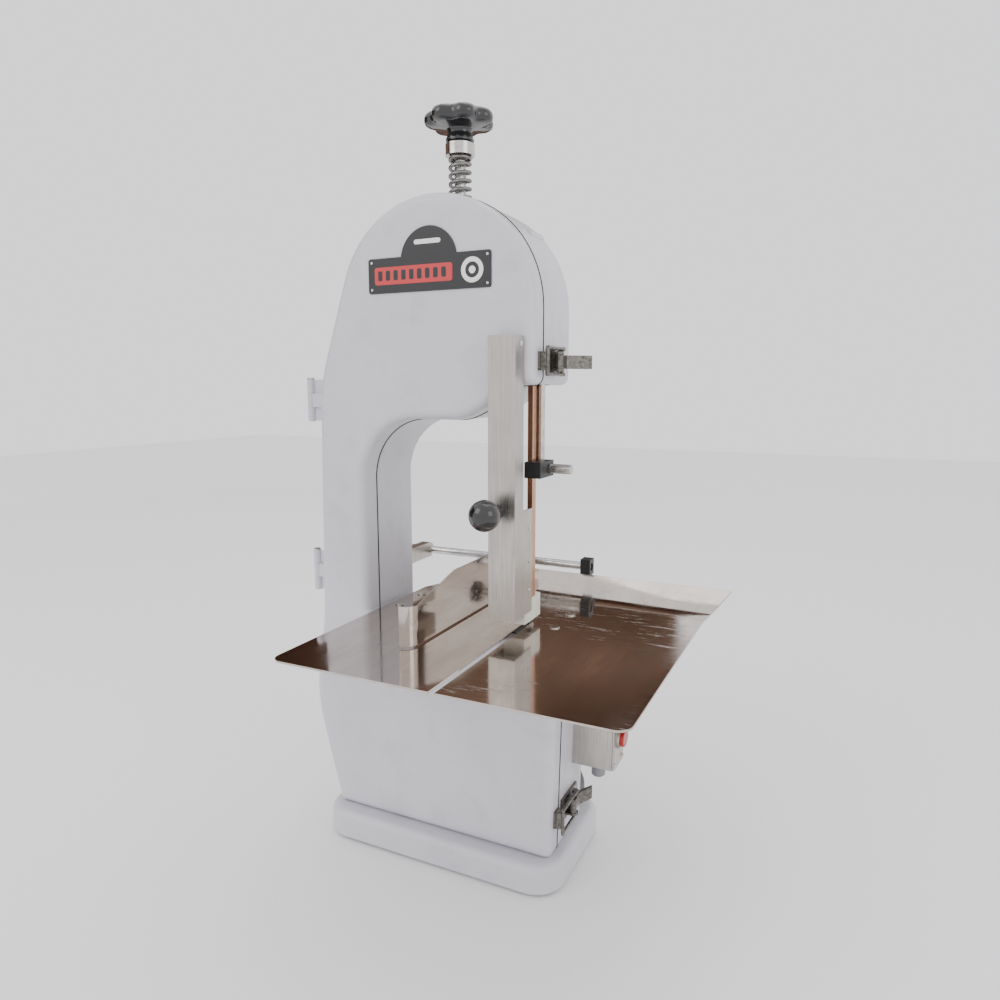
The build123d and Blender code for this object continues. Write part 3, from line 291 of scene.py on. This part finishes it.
def room_card():
    """A soft brown wall for polished steel to reflect, in broad paler and darker bands."""
    material = bpy.data.materials.new("Room_card_brown")
    material.use_nodes = True
    tree = material.node_tree
    tree.nodes.clear()
    place = add_node(tree, "ShaderNodeTexCoord").outputs["Object"]
    wide = add_node(tree, "ShaderNodeMapping", {"Vector": place, "Scale": (0.3, 1.0, 2.0)})
    bands = add_node(tree, "ShaderNodeTexNoise", {
        "Vector": wide.outputs["Vector"], "Scale": per_mm(700), "Detail": 2.0, "Roughness": 0.5})
    share = add_node(tree, "ShaderNodeMapRange", {
        "Value": bands.outputs["Fac"], "From Min": 0.4, "From Max": 0.62, "To Min": 0.0, "To Max": 1.0})
    colour = add_node(tree, "ShaderNodeMix", {
        MIX_AMOUNT: share.outputs["Result"], MIX_FIRST: "3A1E14", MIX_SECOND: "A98A78"}, data_type="RGBA")
    glow = add_node(tree, "ShaderNodeEmission", {"Color": colour.outputs[MIX_RESULT], "Strength": 0.8})
    add_node(tree, "ShaderNodeOutputMaterial", {"Surface": glow.outputs["Emission"]})
    return material


def finish(name):
    """The named finish, made on first use."""
    makers = {
        "white_enamel": lambda: sprayed_enamel(
            "Enamel_stoved_on_cast_aluminium_white", tuple(bpy.context.scene.bonesaw.enamel_colour),
            "C6C4CC", "A29FA4"),
        "dark_enamel": lambda: sprayed_enamel(
            "Enamel_stoved_on_steel_charcoal", "2B2B2F", "232326", "4A4A4C"),
        "motor_enamel": lambda: sprayed_enamel(
            "Enamel_stoved_on_motor_blue_grey", "3D454E", "353C44", "20242A"),
        "rubber": lambda: moulded_plastic("Nitrile_rubber_moulded", "1A1A1A", "242322", 0.7, 0.9),
        "zinc_steel": lambda: plated_steel("Steel_zinc_plated", "C9C7BE", "9A988F", 0.3),
        "bearing_steel": lambda: plated_steel("Bearing_steel_ground", "C4C4C4", "A9A8A6", 0.2, 9.0),
        "wheel_iron": turned_iron,
        "blade_steel": band_steel,
        "spring_steel": lambda: plated_steel("Spring_wire_drawn", "8F8D8A", "5E5B58", 0.28, 3.0),
        "bright_steel": lambda: plated_steel("Steel_turned_and_nickel_plated", "D2D0CC", "A8A5A0", 0.14, 8.0),
        "brushed_stainless": lambda: brushed_stainless("Stainless_belt_brushed", "C6C1BB", "9C958E", 0.28),
        "mirror_stainless": mirror_stainless,
        # The guide bar's tan colour and its brown grain and smudge tints are painted reflection of a brown
        # room, laid over ground steel.
        "polished_guide": lambda: brushed_stainless("Tool_steel_bar_ground_painted_brown_reflection", "D0A184", "9A6A50", 0.16),
        "latch_steel": lambda: plated_steel("Steel_pressed_zinc_plated_worn", "7F7B75", "35312D", 0.3, 3.0),
        "black_phenolic": moulded_phenolic,
        "black_plastic": lambda: moulded_plastic("Polyamide_moulded_black", "141414", "1E1D1D", 0.42),
        "grey_plastic": lambda: moulded_plastic("Polyamide_moulded_grey", "8C8C8E", "7E7E80", 0.45),
        "white_nylon": lambda: moulded_plastic("Nylon_machined_white", "E6E3DA", "D8D4C9", 0.4, 1.2),
        "green_plastic": lambda: moulded_plastic("Polycarbonate_moulded_green", "1E7A36", "18672D", 0.22),
        "red_plastic": lambda: moulded_plastic("Polycarbonate_moulded_red", "B3201A", "9C1A15", 0.22),
        "plate_black": lambda: printed_plate("Aluminium_plate_screen_printed_black", "121214", "3A3A3C"),
        "plate_red": lambda: printed_plate("Screen_ink_red", "C22A2E", "8E2226"),
        "plate_white": lambda: printed_plate("Screen_ink_white", "EDEBE8", "C8C5C0"),
        "paper": floor_paper,
        "room": room_card,
    }
    made = FINISHES.get(name)
    if made is None:
        made = makers[name]()
        FINISHES[name] = made
    return made


FINISHES = {}


# ---- Mesh helpers ---------------------------------------------------------------------------

def mesh_piece(name, verts, faces, body, slot, ink=None, smooth=True):
    """A mesh object in the model's frame that rides on a body and wears a slot's finish."""
    mesh = bpy.data.meshes.new(name)
    mesh.from_pydata([tuple(v) for v in verts], [], faces)
    work = bmesh.new()
    work.from_mesh(mesh)
    bmesh.ops.recalc_face_normals(work, faces=work.faces)
    work.to_mesh(mesh)
    work.free()
    piece = bpy.data.objects.new(name, mesh)
    bpy.context.collection.objects.link(piece)
    mesh.materials.append(finish(ink or slot))
    if smooth:
        mesh.shade_smooth()
        mesh.set_sharp_from_angle(angle=radians(38))
    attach(piece, body)
    return piece


def turned(profile, steps=48, lobes=0):
    """Points and faces of a profile of (radius, height, lobe depth) turned about Z."""
    verts = []
    faces = []
    for radius, height, wave in profile:
        for i in range(steps):
            angle = 2 * pi * i / steps
            reach = radius - wave * (0.5 - 0.5 * cos(lobes * angle)) ** 1.6
            verts.append((reach * cos(angle), reach * sin(angle), height))
    for ring in range(len(profile) - 1):
        for i in range(steps):
            j = (i + 1) % steps
            faces.append((ring * steps + i, ring * steps + j, (ring + 1) * steps + j, (ring + 1) * steps + i))
    faces.append(tuple(reversed(range(steps))))
    faces.append(tuple((len(profile) - 1) * steps + i for i in range(steps)))
    return verts, faces


def placed(verts, centre, facing):
    """Points moved so that their Z axis faces a direction, from a centre."""
    turn = Vector((0, 0, 1)).rotation_difference(Vector(facing)).to_matrix()
    return [Vector(centre) + turn @ Vector(v) for v in verts]


def bead(points, radius, sides=8):
    """Points and faces of a round bead along a closed loop of points in one upright plane."""
    verts = []
    faces = []
    count = len(points)
    for i, point in enumerate(points):
        ahead = (points[(i + 1) % count] - points[i - 1]).normalized()
        depth = Vector((0, 1, 0))
        out = ahead.cross(depth)
        for k in range(sides):
            angle = 2 * pi * k / sides
            verts.append(point + radius * (cos(angle) * out + sin(angle) * depth))
    for i in range(count):
        n = (i + 1) % count
        for k in range(sides):
            j = (k + 1) % sides
            faces.append((i * sides + k, i * sides + j, n * sides + j, n * sides + k))
    return verts, faces


def tube(points, radius, sides=14):
    """Points and faces of a round tube along a path, closed at both ends."""
    verts = []
    faces = []
    side = None
    for i, point in enumerate(points):
        ahead = (points[min(i + 1, len(points) - 1)] - points[max(i - 1, 0)]).normalized()
        across = ahead.orthogonal() if side is None else side - ahead * side.dot(ahead)
        side = across.normalized()
        up = ahead.cross(side)
        for k in range(sides):
            angle = 2 * pi * k / sides
            verts.append(point + radius * (cos(angle) * side + sin(angle) * up))
    for i in range(len(points) - 1):
        for k in range(sides):
            j = (k + 1) % sides
            faces.append((i * sides + k, i * sides + j, (i + 1) * sides + j, (i + 1) * sides + k))
    faces.append(tuple(reversed(range(sides))))
    faces.append(tuple((len(points) - 1) * sides + k for k in range(sides)))
    return verts, faces


def join(parts):
    """Several (points, faces) as one."""
    verts = []
    faces = []
    for part_verts, part_faces in parts:
        faces += [tuple(len(verts) + i for i in face) for face in part_faces]
        verts += list(part_verts)
    return verts, faces


def flat_shape(outline, y, thickness):
    """A flat shape from points of (x, z), standing off a plane that faces the operator."""
    count = len(outline)
    verts = [(x, y, z) for x, z in outline] + [(x, y - thickness, z) for x, z in outline]
    faces = [tuple(range(count)), tuple(range(2 * count - 1, count - 1, -1))]
    faces += [(i, (i + 1) % count, count + (i + 1) % count, count + i) for i in range(count)]
    return verts, faces


def round_bar(x0, x1, z0, z1, radius, steps=6):
    """Outline of a rectangle with round corners."""
    corners = [(x1 - radius, z1 - radius, 0), (x0 + radius, z1 - radius, 90),
               (x0 + radius, z0 + radius, 180), (x1 - radius, z0 + radius, 270)]
    points = []
    for x, z, start in corners:
        for i in range(steps + 1):
            angle = radians(start + 90 * i / steps)
            points.append((x + radius * cos(angle), z + radius * sin(angle)))
    return points


def screw_head(radius, height):
    """A domed screw head with a round-bottomed hex socket."""
    dome = [(radius, 0, 0), (radius, height * 0.35, 0), (radius * 0.93, height * 0.68, 0),
            (radius * 0.75, height * 0.93, 0), (radius * 0.52, height, 0), (radius * 0.46, height, 0),
            (radius * 0.42, height * 0.55, 0), (radius * 0.05, height * 0.5, 0)]
    return turned(dome, 24)


# ---- Settings -------------------------------------------------------------------------------

class SawSettings(bpy.types.PropertyGroup):
    """Sizes and colours that a user would change."""
    tooth_pitch: bpy.props.FloatProperty(
        name="Tooth Pitch", description="Distance from one band tooth to the next", default=8.5 * MM,
        unit="LENGTH", subtype="DISTANCE")
    tooth_depth: bpy.props.FloatProperty(
        name="Tooth Depth", description="Depth of the gullet behind each tooth", default=3.2 * MM,
        unit="LENGTH", subtype="DISTANCE")
    spring_turns: bpy.props.FloatProperty(
        name="Spring Turns", description="Turns of the tension spring, with its two flat end turns",
        default=6.5)
    enamel_colour: bpy.props.FloatVectorProperty(
        name="Enamel Colour", description="Colour of the body's enamel", size=4, subtype="COLOR",
        default=linear("D0CED6"), min=0, max=1)
    knob_lobes: bpy.props.IntProperty(
        name="Knob Lobes", description="Finger lobes round the tension knob", default=7)
    fill_light: bpy.props.FloatProperty(
        name="Fill Light", description="Strength of the even light from all round", default=1.45)
    key_light: bpy.props.FloatProperty(
        name="Key Light", description="Power of the large soft light, in watts", default=20.0)


# ---- Pieces ---------------------------------------------------------------------------------

class BONESAW_OT_finishes(bpy.types.Operator):
    """Give every carried-over node the finish that its record slot names"""
    bl_idname = "bonesaw.finishes"
    bl_label = "Frame Finishes"

    def execute(self, context):
        for part in frame["record"]["subparts"]:
            node = frame["nodes"][part["node"]]
            material = finish(part["material_slot"])
            if not node.material_slots:
                raise RuntimeError("a node has no material slot")
            for place in node.material_slots:
                place.material = material
        return {"FINISHED"}


class BONESAW_OT_band(bpy.types.Operator):
    """Make the endless band with its hooked teeth"""
    bl_idname = "bonesaw.band"
    bl_label = "Toothed Band"

    def execute(self, context):
        settings = context.scene.bonesaw
        low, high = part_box("saw_blade")
        wheel_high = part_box("lower_wheel")[1]
        radius = high[0]
        centres = (low[2] + radius, high[2] - radius)
        thickness = radius - wheel_high[0] - 0.3 * MM
        middle = radius - thickness / 2
        straight = centres[1] - centres[0]
        length = 2 * straight + 2 * pi * middle
        teeth = round(length / settings.tooth_pitch)
        pitch = length / teeth
        shape = [(0.0, 1.0), (0.22, 0.9), (0.52, 0.25), (0.66, 0.0), (0.7, 0.0), (0.74, 0.85), (0.84, 1.0)]
        verts = []
        for tooth in range(teeth):
            for share, depth in shape:
                at, out = self.along((tooth + share) * pitch, straight, middle, centres)
                front = low[1] + depth * settings.tooth_depth
                swing = (0.12 if tooth % 2 else -0.12) * MM * (1 - depth)
                for y, lean in ((front, swing), (high[1], 0.0)):
                    for side in (-0.5, 0.5):
                        spot = at + out * (side * thickness + lean)
                        verts.append((spot[0], y, spot[1]))
        count = teeth * len(shape)
        faces = []
        for i in range(count):
            a = 4 * i
            b = 4 * ((i + 1) % count)
            for p, q in ((0, 1), (1, 3), (3, 2), (2, 0)):
                faces.append((a + p, a + q, b + q, b + p))
        piece = mesh_piece("toothed_band", verts, faces, "frame", "blade_steel")
        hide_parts("saw_blade")
        return {"FINISHED"}

    def along(self, run, straight, radius, centres):
        """Point and outward direction on the loop: up the left, over, and down the right."""
        if run < straight:
            return Vector((-radius, centres[0] + run)), Vector((-1, 0))
        run -= straight
        if run < pi * radius:
            out = Vector((-cos(run / radius), sin(run / radius)))
            return Vector((0, centres[1])) + radius * out, out
        run -= pi * radius
        if run < straight:
            return Vector((radius, centres[1] - run)), Vector((1, 0))
        run -= straight
        out = Vector((cos(run / radius), -sin(run / radius)))
        return Vector((0, centres[0])) + radius * out, out


class BONESAW_OT_spring(bpy.types.Operator):
    """Wind the tension spring with closed, flat end turns"""
    bl_idname = "bonesaw.spring"
    bl_label = "Tension Spring"

    def execute(self, context):
        turns = context.scene.bonesaw.spring_turns
        low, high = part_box("tension_spring")
        wire = 2.0 * MM
        radius = (high[0] - low[0]) / 2 - wire
        centre = Vector(((low[0] + high[0]) / 2, (low[1] + high[1]) / 2, 0))
        span = high[2] - low[2] - 2 * wire
        steps = int(turns * 28)
        points = []
        for i in range(steps + 1):
            turn = turns * i / steps
            climb = min(max((turn - 0.8) / (turns - 1.6), 0), 1)
            height = low[2] + wire + span * (climb * 0.88 + 0.12 * turn / turns)
            points.append(centre + Vector((radius * cos(2 * pi * turn), radius * sin(2 * pi * turn), height)))
        verts, faces = tube(points, wire, 12)
        piece = mesh_piece("wound_spring", verts, faces, "frame", "spring_steel")
        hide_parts("tension_spring")
        return {"FINISHED"}


class BONESAW_OT_knob(bpy.types.Operator):
    """Shape the lobed tension knob on its tapered neck"""
    bl_idname = "bonesaw.knob"
    bl_label = "Tension Knob"

    def execute(self, context):
        lobes = context.scene.bonesaw.knob_lobes
        low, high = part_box("tension_knob")
        reach = (high[0] - low[0]) / 2
        centre = ((low[0] + high[0]) / 2, (low[1] + high[1]) / 2, low[2])
        tall = high[2] - low[2]
        # Shares of the knob's reach and height: radius, height, depth of the dips between lobes
        neck = [(0.37, 0.0, 0.0), (0.40, 0.02, 0.0), (0.40, 0.07, 0.0), (0.36, 0.20, 0.0),
                (0.345, 0.32, 0.0), (0.38, 0.40, 0.0)]
        grip = [(0.55, 0.445, 0.02), (0.76, 0.465, 0.08), (0.90, 0.50, 0.13), (0.97, 0.56, 0.155),
                (1.0, 0.65, 0.16), (1.0, 0.74, 0.16), (0.975, 0.84, 0.155), (0.91, 0.92, 0.14),
                (0.80, 0.965, 0.10), (0.62, 0.985, 0.04)]
        cap = [(0.42, 0.99, 0.0), (0.34, 0.985, 0.0), (0.325, 0.96, 0.0), (0.30, 0.955, 0.0),
               (0.285, 0.985, 0.0), (0.2, 0.998, 0.0), (0.02, 1.0, 0.0)]
        verts, faces = turned([(r * reach, z * tall, w * reach) for r, z, w in neck + grip + cap],
                              KNOB_STEPS, lobes)
        piece = mesh_piece("lobed_knob", placed(verts, centre, (0, 0, 1)), faces, "tension_handwheel",
                           "black_phenolic")
        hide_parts("tension_knob")
        return {"FINISHED"}


class BONESAW_OT_ball(bpy.types.Operator):
    """Turn the guard's ball knob with its collar and mould line"""
    bl_idname = "bonesaw.ball"
    bl_label = "Guard Ball Knob"

    def execute(self, context):
        low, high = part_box("ball_knob")
        guard_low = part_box("guard_channel")[0]
        radius = (high[0] - low[0]) / 2
        centre = ((low[0] + high[0]) / 2, guard_low[1], (low[2] + high[2]) / 2)
        reach = guard_low[1] - low[1]
        middle = reach - radius
        profile = [(0.45 * radius, 0.0, 0), (0.47 * radius, 0.8 * MM, 0), (0.42 * radius, 2.5 * MM, 0),
                   (0.40 * radius, middle - 0.93 * radius, 0)]
        for i in range(30):
            angle = radians(-64 + 152 * i / 29)
            seam = 0.18 * MM if i in (12, 13) else 0.0
            profile.append((radius * cos(angle) - seam, middle + radius * sin(angle), 0))
        profile.append((0.02 * radius, reach, 0))
        verts, faces = turned(profile, 56)
        piece = mesh_piece("turned_ball", placed(verts, centre, (0, -1, 0)), faces, "guard", "black_phenolic")
        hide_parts("ball_knob")
        return {"FINISHED"}


class BONESAW_OT_badge(bpy.types.Operator):
    """Print the nameplate with plain generic shapes and rivet it on"""
    bl_idname = "bonesaw.badge"
    bl_label = "Nameplate Print"

    def execute(self, context):
        low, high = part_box("nameplate")
        face = low[1]
        ink = 0.15 * MM
        band_height = 39 * MM
        left, right = low[0], high[0]
        wide = right - left
        plate_top = low[2] + band_height
        centre = (left + right) / 2
        red = round_bar(left + 0.055 * wide, left + 0.70 * wide, low[2] + 9.5 * MM,
                        plate_top - 10 * MM, 3 * MM)
        bar_count = 9
        bars = []
        for i in range(bar_count):
            start = left + (0.085 + 0.066 * i) * wide
            bar = round_bar(start, start + 0.036 * wide, low[2] + 14 * MM, plate_top - 14 * MM, 1.6 * MM)
            bars.append(flat_shape(bar, face - ink, ink))
        mesh_piece("print_red_band", *flat_shape(red, face, ink), "door", "plate_black", "plate_red")
        mesh_piece("print_bars", *join(bars), "door", "plate_black", "plate_black")
        emblem_x = left + 0.855 * wide
        emblem_z = low[2] + band_height / 2
        outer, inner, core = [
            [(emblem_x + radius * cos(a), emblem_z + radius * sin(a))
             for a in (2 * pi * i / steps for i in range(steps))]
            for radius, steps in ((13.5 * MM, 48), (8.5 * MM, 48), (4 * MM, 32))]
        mesh_piece("print_emblem", *join([self.band(outer, inner, face, ink), flat_shape(core, face, ink)]),
                   "door", "plate_black", "plate_white")
        cap = round_bar(centre - 17 * MM, centre + 17 * MM, high[2] - 19 * MM, high[2] - 14 * MM, 2.4 * MM)
        mesh_piece("print_cap_bar", *flat_shape(cap, face, ink), "door", "plate_black", "plate_white")
        heads = []
        for x in (left + 4.5 * MM, right - 4.5 * MM):
            for z in (low[2] + 4.5 * MM, plate_top - 4.5 * MM):
                verts, faces = turned([(1.7 * MM, 0, 0), (1.6 * MM, 0.4 * MM, 0), (1.2 * MM, 0.8 * MM, 0),
                                       (0.5 * MM, 1.0 * MM, 0)], 20)
                heads.append((placed(verts, (x, face, z), (0, -1, 0)), faces))
        mesh_piece("plate_rivets", *join(heads), "door", "bright_steel")
        return {"FINISHED"}

    def band(self, outer, inner, y, thickness):
        """A flat ring between two outlines of equal count."""
        count = len(outer)
        rings = [(outer, y), (outer, y - thickness), (inner, y - thickness), (inner, y)]
        verts = [(x, depth, z) for ring, depth in rings for x, z in ring]
        faces = []
        for r in range(4):
            s = (r + 1) % 4
            for i in range(count):
                j = (i + 1) % count
                faces.append((r * count + i, r * count + j, s * count + j, s * count + i))
        return verts, faces


class BONESAW_OT_seal_and_seam_shade(bpy.types.Operator):
    """Run a thin rubber seal round the door's edge, whose dark line is partly painted shade for the seam
    between door and casting, and put the ring on the upper axle
    """
    bl_idname = "bonesaw.seal"
    bl_label = "Door Seal As Seam Shade And Axle Ring"

    def execute(self, context):
        bead_radius = 0.9 * MM
        door = frame["nodes"]["front_door"]
        spots = [door.matrix_world @ v.co for v in door.data.vertices]
        edge = max(spot.y for spot in spots)
        keys = [(round(spot.x, 6), round(spot.z, 6)) for spot in spots]
        on_edge = [spot.y > edge - 0.01 * MM for spot in spots]
        steps = {}
        count = {}
        for polygon in door.data.polygons:
            if not all(on_edge[v] for v in polygon.vertices):
                continue
            for a, b in polygon.edge_keys:
                pair = tuple(sorted((keys[a], keys[b])))
                count[pair] = count.get(pair, 0) + 1
        for (a, b), uses in count.items():
            if uses == 1 and a != b:
                steps.setdefault(a, []).append(b)
                steps.setdefault(b, []).append(a)
        loops = []
        left = set(steps)
        while left:
            loop = [min(left)]
            left.discard(loop[0])
            while True:
                ahead = [k for k in steps[loop[-1]] if k in left]
                if not ahead:
                    break
                loop.append(ahead[0])
                left.discard(ahead[0])
            loops.append(loop)
        outer = max(loops, key=lambda loop: max(x for x, z in loop) - min(x for x, z in loop))
        path = [Vector((x, edge - bead_radius, z)) for x, z in outer]
        # The dark rubber bead is partly a seal and partly painted shade in the seam between door and casting.
        mesh_piece("door_seal_and_seam_shade", *bead(path, bead_radius), "door", "rubber")
        bearing_low, bearing_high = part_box("upper_bearings")
        centre = Vector(((bearing_low[0] + bearing_high[0]) / 2, bearing_low[1] - 1.2 * MM,
                         (bearing_low[2] + bearing_high[2]) / 2))
        ring = [centre + 11.2 * MM * Vector((cos(a), 0, sin(a))) for a in (radians(12 + 336 * i / 40)
                                                                          for i in range(41))]
        mesh_piece("axle_ring", *tube(ring, 1.0 * MM, 10), "carriage", "spring_steel")
        return {"FINISHED"}


class BONESAW_OT_screws(bpy.types.Operator):
    """Add the screws and rivets that hold the guard, its blade shroud, the latches and the switch lid"""
    bl_idname = "bonesaw.screws"
    bl_label = "Screws And Rivets"

    def execute(self, context):
        low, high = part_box("guard_channel")
        middle = (low[1] + high[1]) / 2
        spots = [((high[0], middle + 3 * MM, high[2] - 9 * MM), (1, 0, 0)),
                 ((low[0], middle + 3 * MM, high[2] - 9 * MM), (-1, 0, 0))]
        self.heads("guard_screws", spots, 3.4 * MM, 2.4 * MM, "guard", "bright_steel")
        shroud_low, shroud_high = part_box("blade_shroud")
        rivets = [((shroud_high[0], shroud_high[1] - 8 * MM, shroud_low[2] + z * MM), (1, 0, 0))
                  for z in (26, 60, 98)]
        self.heads("shroud_rivets", rivets, 2.4 * MM, 1.2 * MM, "guard", "bright_steel")
        lid_low, lid_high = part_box("switch_cover")
        box_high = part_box("switch_box")[1]
        face = box_high[0] + 2 * MM
        lid = [((face, y, z), (1, 0, 0)) for y in (lid_low[1] + 5 * MM, lid_high[1] - 5 * MM)
               for z in (lid_low[2] + 6 * MM, lid_high[2] - 6 * MM)]
        self.heads("lid_screws", lid, 2.6 * MM, 1.8 * MM, "frame", "bright_steel")
        base = []
        for node in ("latch_lever_upper", "latch_lever_lower"):
            lever_low, lever_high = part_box(node)
            z = (lever_low[2] + lever_high[2]) / 2
            plate = lever_low[0] + 1.0 * MM
            for dz in (-9, 9):
                base.append(((plate - 3.0 * MM, lever_low[1] + 30 * MM, z + dz * MM), (1, 0, 0)))
        self.heads("latch_screws", base, 2.6 * MM, 2.0 * MM, "frame", "zinc_steel")
        return {"FINISHED"}

    def heads(self, name, spots, radius, height, body, slot):
        """One piece of equal screw heads."""
        parts = []
        for centre, facing in spots:
            verts, faces = screw_head(radius, height)
            parts.append((placed(verts, centre, facing), faces))
        mesh_piece(name, *join(parts), body, slot)


class BONESAW_OT_stage(bpy.types.Operator):
    """Set the pale floor, the soft lights, a brown wall for the steel to reflect, and the camera"""
    bl_idname = "bonesaw.stage"
    bl_label = "Studio Stage"

    def execute(self, context):
        settings = context.scene.bonesaw
        self.plane("studio_floor", 12.0, (0, 0, 0), (0, 0, 0), "paper")
        cards = (("card_back", (-1.9, 2.6, 0.9), 3.4), ("card_left", (-3.2, -0.2, 0.9), 3.0))
        for name, place, size in cards:
            facing = Vector(place) * -1
            card = self.plane(name, size, place, facing.to_track_quat("Z", "Y").to_euler(), "room")
            card.visible_camera = False
            card.visible_diffuse = False
            card.visible_shadow = False
        world = bpy.data.worlds.new("studio_air")
        world.use_nodes = True
        world.node_tree.nodes["Background"].inputs["Color"].default_value = linear("FAFAFC")
        world.node_tree.nodes["Background"].inputs["Strength"].default_value = settings.fill_light
        context.scene.world = world
        self.light("key", (-1.5, -2.2, 2.4), 1.8, settings.key_light)
        self.light("side", (2.6, -0.9, 1.5), 1.4, settings.key_light * 0.45)
        self.light("top", (0.2, 0.6, 2.9), 1.6, settings.key_light * 0.5)
        camera = bpy.data.objects.new("camera", bpy.data.cameras.new("camera"))
        context.collection.objects.link(camera)
        camera.data.lens = CAMERA_LENS
        camera.data.sensor_width = SENSOR_WIDTH
        camera.location = CAMERA_PLACE
        camera.rotation_euler = (radians(CAMERA_TILT), 0, radians(CAMERA_TURN))
        context.scene.camera = camera
        return {"FINISHED"}

    def plane(self, name, size, place, turn, slot):
        """A flat square that belongs to the stage."""
        half = size / 2
        mesh = bpy.data.meshes.new(name)
        corners = [(-half, -half, 0), (half, -half, 0), (half, half, 0), (-half, half, 0)]
        mesh.from_pydata(corners, [], [(0, 1, 2, 3)])
        made = bpy.data.objects.new(name, mesh)
        bpy.context.collection.objects.link(made)
        made.location = place
        made.rotation_euler = turn
        mesh.materials.append(finish(slot))
        return made

    def light(self, name, place, size, power):
        """A square soft light aimed at the middle of the saw."""
        data = bpy.data.lights.new(name, "AREA")
        data.shape = "SQUARE"
        data.size = size
        data.energy = power
        lamp = bpy.data.objects.new(name, data)
        bpy.context.collection.objects.link(lamp)
        lamp.location = place
        aim = Vector((0, 0, 0.45)) - Vector(place)
        lamp.rotation_euler = aim.to_track_quat("-Z", "Y").to_euler()


class BONESAW_PT_panel(bpy.types.Panel):
    """Sizes, and a button for each piece"""
    bl_label = "Bone Saw"
    bl_idname = "BONESAW_PT_panel"
    bl_space_type = "VIEW_3D"
    bl_region_type = "UI"
    bl_category = "Bone Saw"

    def draw(self, context):
        for key in SawSettings.__annotations__:
            self.layout.prop(context.scene.bonesaw, key)
        for operator in PIECES:
            self.layout.operator(operator.bl_idname)


PIECES = (
    BONESAW_OT_stage,
    BONESAW_OT_finishes,
    BONESAW_OT_band,
    BONESAW_OT_spring,
    BONESAW_OT_knob,
    BONESAW_OT_ball,
    BONESAW_OT_badge,
    BONESAW_OT_seal_and_seam_shade,
    BONESAW_OT_screws,
)


def register():
    bpy.utils.register_class(SawSettings)
    for operator in PIECES:
        bpy.utils.register_class(operator)
    bpy.utils.register_class(BONESAW_PT_panel)
    bpy.types.Scene.bonesaw = bpy.props.PointerProperty(type=SawSettings)


def unregister():
    del bpy.types.Scene.bonesaw
    bpy.utils.unregister_class(BONESAW_PT_panel)
    for operator in reversed(PIECES):
        bpy.utils.unregister_class(operator)
    bpy.utils.unregister_class(SawSettings)


def main():
    register()
    for operator in PIECES:
        family, name = operator.bl_idname.split(".")
        getattr(getattr(bpy.ops, family), name)()


if __name__ == "__main__":
    main()
